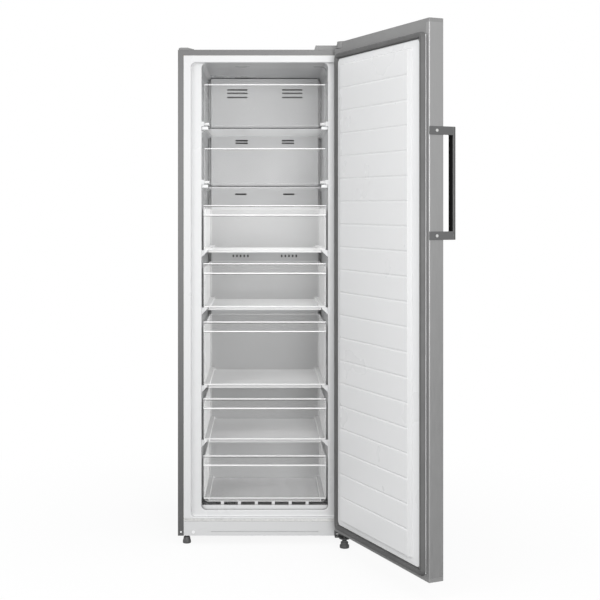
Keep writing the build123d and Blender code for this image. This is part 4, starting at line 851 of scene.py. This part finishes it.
# %% Growing a sheet from one face
def upright_face(x_low, x_high, z_low, z_high, y):
    """A bmesh with one face that looks along +Y."""
    bm = bmesh.new()
    bmesh.ops.create_grid(bm, x_segments=1, y_segments=1, size=0.5)
    bmesh.ops.rotate(bm, cent=(0, 0, 0), matrix=Matrix.Rotation(radians(-90), 3, "X"), verts=bm.verts)
    bmesh.ops.scale(bm, vec=(x_high - x_low, 1.0, z_high - z_low), verts=bm.verts)
    middle = ((x_low + x_high) / 2, y, (z_low + z_high) / 2)
    bmesh.ops.translate(bm, vec=middle, verts=bm.verts)
    return bm


def raise_face(bm, face, height):
    """Extrudes a face along +Y and gives back its new place."""
    grown = bmesh.ops.extrude_face_region(bm, geom=[face])["geom"]
    verts = [item for item in grown if isinstance(item, bmesh.types.BMVert)]
    bmesh.ops.translate(bm, vec=(0, height, 0), verts=verts)
    top = next(item for item in grown if isinstance(item, bmesh.types.BMFace))
    if face.is_valid:
        bmesh.ops.delete(bm, geom=[face], context="FACES_ONLY")
    return top


def inset(bm, face, thickness, depth=0.0):
    """Draws a face in by a thickness, raising it by a depth; the face stays the inner one."""
    bmesh.ops.inset_region(
        bm,
        faces=[face],
        thickness=thickness,
        depth=depth,
        use_boundary=True,
        use_even_offset=True,
    )


def inset_to(bm, face, half, low, high, rise=0.0):
    """Insets a face and sets its new corners on a given rectangle, raised by rise."""
    inset(bm, face, first_inset)
    middle = (low + high) / 2
    for vert in face.verts:
        vert.co.x = half if vert.co.x > 0 else -half
        vert.co.z = high if vert.co.z > middle else low
        vert.co.y += rise


def at_depth(y):
    """Picks the places in the plane y."""
    return lambda place: abs(place.y - y) < tiny


# %% The door liner's frame and plateau
first_inset = 2.5 * MM
frame_gap = 1.0 * MM
frame_rise = 8.0 * MM
frame_corner = 16.0 * MM
plateau_rise = 16.0 * MM
plateau_draft = 4.6 * MM
form_edge = 2.5 * MM
gasket_width = 20.0 * MM
flange_low, flange_high = shut_box("door_liner")
gasket_low, gasket_high = shut_box("door_gasket")
margin = gasket_width + frame_gap
frame_half = -gasket_low.x - margin
frame_low, frame_high = gasket_low.z + margin, gasket_high.z - margin
plateau_half = 217.5 * MM
plateau_low, plateau_high = 107.5 * MM, 1630.0 * MM
door_face = gasket_low.y
frame_face = door_face + frame_rise

sheet = upright_face(flange_low.x, flange_high.x, flange_low.z, flange_high.z, door_face)
centre = sheet.faces[:][0]
inset_to(sheet, centre, frame_half, frame_low, frame_high)
centre = raise_face(sheet, centre, frame_rise)
inset_to(sheet, centre, plateau_half, plateau_low, plateau_high)
inset_to(
    sheet,
    centre,
    plateau_half - plateau_draft,
    plateau_low + plateau_draft,
    plateau_high - plateau_draft,
    plateau_rise,
)
plateau_face = frame_face + plateau_rise
uprights = [
    edge
    for edge in sharp_edges(sheet)
    if abs(edge.verts[0].co.y - edge.verts[1].co.y) > frame_rise / 2
]
bevel(sheet, uprights, frame_corner, 6)
for face_plane in (plateau_face, frame_face):
    round_edges(sheet, form_edge, where=at_depth(face_plane), segments=3)
print("frame and plateau:", len(sheet.faces), "faces")

# %% [markdown]
# ## The door liner's grooves
#
# Each groove takes three cuts across the sheet, and the middle line is pushed in, which
# leaves a V that is dark above and bright below. The grooves are shallow, so edges count
# as sharp from 17 degrees on. The plateau's slopes take a greyer copy of the sheet, painted
# shade that tones down how brightly the lamps catch them, and Solidify gives the sheet its wall.

# %% Grooves and wall
groove_count = 19
groove_top = 1550.0 * MM
groove_pitch = 75.45 * MM
groove_half = 4.5 * MM
groove_depth = 1.8 * MM
slope = 0.6
wall = 2.5 * MM
for i in range(groove_count):
    middle = groove_top - i * groove_pitch
    for z in (middle - groove_half, middle, middle + groove_half):
        cut_across(sheet, z)
    for vert in sheet.verts:
        if abs(vert.co.z - middle) < tiny and vert.co.y > plateau_face - groove_depth:
            vert.co.y = plateau_face - groove_depth
# The plateau's slopes take the greyer copy, as painted shade.
for face in sheet.faces:
    face.normal_update()
    face.material_index = 1 if abs(face.normal.x) > slope else 0
looks = [finishes["white_liner"], slope_shade_liner]
door_liner = finish_on_door(
    "door_liner_formed", sheet, looks, ["door_liner"], sharp=17
)
thick = door_liner.modifiers.new("wall", "SOLIDIFY")
thick.thickness = wall
thick.offset = -1.0

# %% [markdown]
# ## The gasket
#
# The gasket is a soft extrusion: a foot that clips into the door, a bellows fold and a flat
# tube that holds the magnet. Four lengths are welded at the corners. One face, inset and
# raised step by step along the profile, makes all four at once. Each step is how far it
# goes inwards and up, in millimetres, and the last steps drop back to the door.

# %% Gasket
profile_steps = [(0.0, 4.0), (1.6, 1.6), (0.0, 1.8), (1.4, 1.4), (0.6, 3.0), (1.8, 1.2), (9.0, 0.0)]
profile_close = [(1.8, -1.2), (0.6, -4.0), (1.2, -1.6), (1.0, -3.0)]
gasket_corner = 20.0 * MM
gasket = upright_face(gasket_low.x, gasket_high.x, gasket_low.z, gasket_high.z, gasket_low.y)
ring = gasket.faces[:][0]
bmesh.ops.bevel(
    gasket,
    geom=ring.verts[:],
    offset=gasket_corner,
    offset_type="OFFSET",
    affect="VERTICES",
    segments=6,
    profile=0.5,
    clamp_overlap=False,
    material=-1,
)
ring = gasket.faces[:][0]
for inwards, up in profile_steps + profile_close:
    if inwards:
        inset(gasket, ring, inwards * MM, up * MM)
    else:
        ring = raise_face(gasket, ring, up * MM)
bmesh.ops.delete(gasket, geom=[ring], context="FACES_ONLY")
bmesh.ops.bridge_loops(gasket, edges=[edge for edge in gasket.edges if edge.is_boundary])
bmesh.ops.recalc_face_normals(gasket, faces=gasket.faces)
looks = [finishes["gasket_grey"]]
finish_on_door("door_gasket_profiled", gasket, looks, ["door_gasket"])

# %% [markdown]
# ## The handle
#
# The bar is a brushed steel channel, in a darker copy of the handle's steel: painted shade
# for its unlit faces. Its back, which faces the door and the fingers, carries a near-black
# strip between the two brackets: painted shade for the dark, shaded face in the photograph.

# %% Handle bar and its black back
bar_radius = 1.4 * MM
bracket_height = 25.0 * MM
strip_margin = 1.6 * MM
strip_rise = 0.7 * MM
strip_radius = 0.5 * MM
bar_low, bar_high = shut_box("handle_bar")
bar = block(bar_low, bar_high, bar_radius, segments=3)
# A darker copy of the handle's brushed steel, as painted shade on the bar.
shaded_bar_steel = brushed_steel("brushed handle bar, painted shade", 0.13, 0.42)
finish_on_door("handle_bar_channel", bar, [shaded_bar_steel], ["handle_bar"])
# A near-black strip on the bar's back, as painted shade.
strip_low = Vector((bar_low.x + strip_margin, bar_high.y - strip_rise, bar_low.z + bracket_height))
strip_high = Vector((bar_high.x - strip_margin, bar_high.y + strip_rise, bar_high.z - bracket_height))
strip = block(strip_low, strip_high, strip_radius, segments=3)
finish_on_door("handle_shade_strip", strip, [handle_shade])

# %% [markdown]
# ## The feet
#
# Each front foot is a lathe shape round its stud: a broad pad, a waist and a grip. The
# profile gives radius and height in millimetres, and is spun about the foot's own axis.
# The right foot, under the hinge bracket, has the broader pad.


# %% Levelling feet
def spun(profile, x, y, steps=40):
    """A closed shape from a profile of (radius, height) points, spun about an upright axis."""
    bm = bmesh.new()
    points = [bm.verts.new((x + radius * MM, y, height * MM)) for radius, height in profile]
    edges = [bm.edges.new(pair) for pair in zip(points, points[1:])]
    bmesh.ops.spin(
        bm,
        geom=points + edges,
        cent=(x, y, 0),
        axis=(0, 0, 1),
        angle=2 * pi,
        steps=steps,
        use_merge=True,
    )
    bmesh.ops.remove_doubles(bm, verts=bm.verts, dist=tiny)
    bmesh.ops.recalc_face_normals(bm, faces=bm.faces)
    return bm


# %% The two front feet
left_profile = [
    (0.0, 0.0), (13.0, 0.0), (14.0, 1.0), (14.0, 7.0), (13.2, 8.0), (13.6, 8.8),
    (11.6, 15.0), (11.9, 15.8), (10.6, 21.0), (9.8, 22.0), (4.0, 22.0), (4.0, 41.5), (0.0, 41.5),
]
right_profile = [
    (0.0, 0.0), (15.0, 0.0), (16.0, 1.0), (16.0, 9.0), (15.2, 10.0), (12.8, 10.0), (12.8, 19.2),
    (12.0, 20.0), (8.0, 20.0), (8.0, 26.0), (4.0, 26.0), (4.0, 43.0), (0.0, 43.0),
]
for foot, profile in (("left_foot", left_profile), ("right_foot", right_profile)):
    low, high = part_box(foot)
    lathe = spun(profile, (low.x + high.x) / 2, (low.y + high.y) / 2)
    finish_piece(foot + "_turned", lathe, [foot_plastic], foot, [foot])

# %% [markdown]
# ## World and floor
#
# The photograph has a plain white ground with the faintest shadow. Light Path makes the
# world white to the camera, to gloss and to glass, while its light on the object stays
# low. The floor does the same by a mix of its own colour and plain white, so that it still
# carries a soft shadow, and it fades to pure white away from the feet.

# %% White to the eye only
def seen_directly(nodes, links, kinds):
    """1 for the given kinds of ray, otherwise 0."""
    path = nodes.new("ShaderNodeLightPath")
    total = path.outputs[kinds[0]]
    for kind in kinds[1:]:
        total = combine(nodes, links, "MAXIMUM", total, path.outputs[kind])
    return total


def choose(nodes, links, kind, share, first, second):
    """Sends a mix of two shaders to a new output of the given kind."""
    mix = nodes.new("ShaderNodeMixShader")
    result = nodes.new(kind)
    links.new(share, mix.inputs["Fac"])
    links.new(first, mix.inputs[1])
    links.new(second, mix.inputs[2])
    links.new(mix.outputs["Shader"], result.inputs["Surface"])


# %% World
ambient = 0.68
world = bpy.data.worlds.new("white studio")
world.use_nodes = True
bpy.context.scene.world = world
nodes, links = world.node_tree.nodes, world.node_tree.links
nodes.clear()
seen = nodes.new("ShaderNodeBackground")
seen.inputs["Color"].default_value = (1, 1, 1, 1)
lighting = nodes.new("ShaderNodeBackground")
lighting.inputs["Color"].default_value = (1, 1, 1, 1)
lighting.inputs["Strength"].default_value = ambient
shown = seen_directly(nodes, links, ("Is Camera Ray", "Is Glossy Ray", "Is Transmission Ray"))
lit, white = lighting.outputs["Background"], seen.outputs["Background"]
choose(nodes, links, "ShaderNodeOutputWorld", shown, lit, white)

print("ambient light", ambient)

# %% Floor
floor_reach = 12.0
ground = bmesh.new()
bmesh.ops.create_grid(ground, x_segments=1, y_segments=1, size=floor_reach)
ground_mesh = bpy.data.meshes.new("floor")
ground.to_mesh(ground_mesh)
ground.free()
floor = bpy.data.objects.new("floor", ground_mesh)
bpy.context.scene.collection.objects.link(floor)
print("floor", 2 * floor_reach, "m wide")

# %% Floor paint
floor_tone = 0.45
floor_seen = 0.95
shadow_share = 0.10
fade_start, fade_end = 0.45, 1.8
floor_paint = bpy.data.materials.new("floor paint")
floor_paint.use_nodes = True
nodes, links = floor_paint.node_tree.nodes, floor_paint.node_tree.links
nodes.clear()
shown = seen_directly(nodes, links, ("Is Camera Ray", "Is Transmission Ray"))
tone = nodes.new("ShaderNodeMapRange")
tone.inputs["To Min"].default_value = floor_tone
tone.inputs["To Max"].default_value = floor_seen
links.new(shown, tone.inputs["Value"])
matt = nodes.new("ShaderNodeBsdfDiffuse")
links.new(tone.outputs["Result"], matt.inputs["Color"])
plain = nodes.new("ShaderNodeEmission")
plain.inputs["Color"].default_value = (1, 1, 1, 1)
place = nodes.new("ShaderNodeTexCoord")
distance = nodes.new("ShaderNodeVectorMath")
distance.operation = "LENGTH"
links.new(place.outputs["Object"], distance.inputs[0])
fade = nodes.new("ShaderNodeMapRange")
fade.interpolation_type = "SMOOTHSTEP"
fade.inputs["From Min"].default_value = fade_start
fade.inputs["From Max"].default_value = fade_end
fade.inputs["To Min"].default_value = 1.0 - shadow_share
fade.inputs["To Max"].default_value = 1.0
links.new(distance.outputs["Value"], fade.inputs["Value"])
share = combine(nodes, links, "MULTIPLY", shown, fade.outputs["Result"])
lit, white = matt.outputs["BSDF"], plain.outputs["Emission"]
choose(nodes, links, "ShaderNodeOutputMaterial", share, lit, white)
ground_mesh.materials.append(floor_paint)
print("shadow fades out", fade_start, "to", fade_end, "m from the middle")

# %% [markdown]
# ## Lamps
#
# The photograph was lit softly from the front, with hardly a shadow. A large lamp beside
# the camera lights the cavity, a second one from the left gives the door's liner its
# shape, and a third from above lifts the top edges.


# %% Lamps
def soft_lamp(name, place, target, size, power):
    """A square area lamp aimed at a point."""
    light = bpy.data.lights.new(name, "AREA")
    light.size = size
    light.energy = power
    lamp = bpy.data.objects.new(name, light)
    lamp.location = place
    lamp.rotation_euler = (Vector(target) - Vector(place)).to_track_quat("-Z", "Y").to_euler()
    bpy.context.scene.collection.objects.link(lamp)


soft_lamp("front lamp", (0.65, -3.7, 1.25), (0.0, 0.2, 0.9), 1.9, 72.0)
soft_lamp("left lamp", (-2.4, -2.6, 2.3), (0.0, 0.2, 1.1), 1.6, 32.0)
soft_lamp("top lamp", (0.2, -0.5, 4.4), (0.0, 0.0, 1.0), 2.0, 20.0)

# %% [markdown]
# ## Light through the clear pieces
#
# A render traces its light backwards and gives up after eight clear faces, so the cavity
# behind a drawer and a flap would turn black. Real clear plastic and glass take almost
# nothing from the light, so the drawer fronts, the flaps and the shelves' glass stay out of
# the shadow rays and diffuse rays; the baskets still cast their shadows.

# %% Let the light through
let_through = [f"drawer_{drawer}_front_rounded" for drawer in drawers]
for level in ("upper", "lower"):
    let_through += [level + "_flap_rounded", level + "_shelf_glass"]
for name in let_through:
    bpy.data.objects[name].visible_shadow = False
    bpy.data.objects[name].visible_diffuse = False
print("clear pieces:", len(let_through))
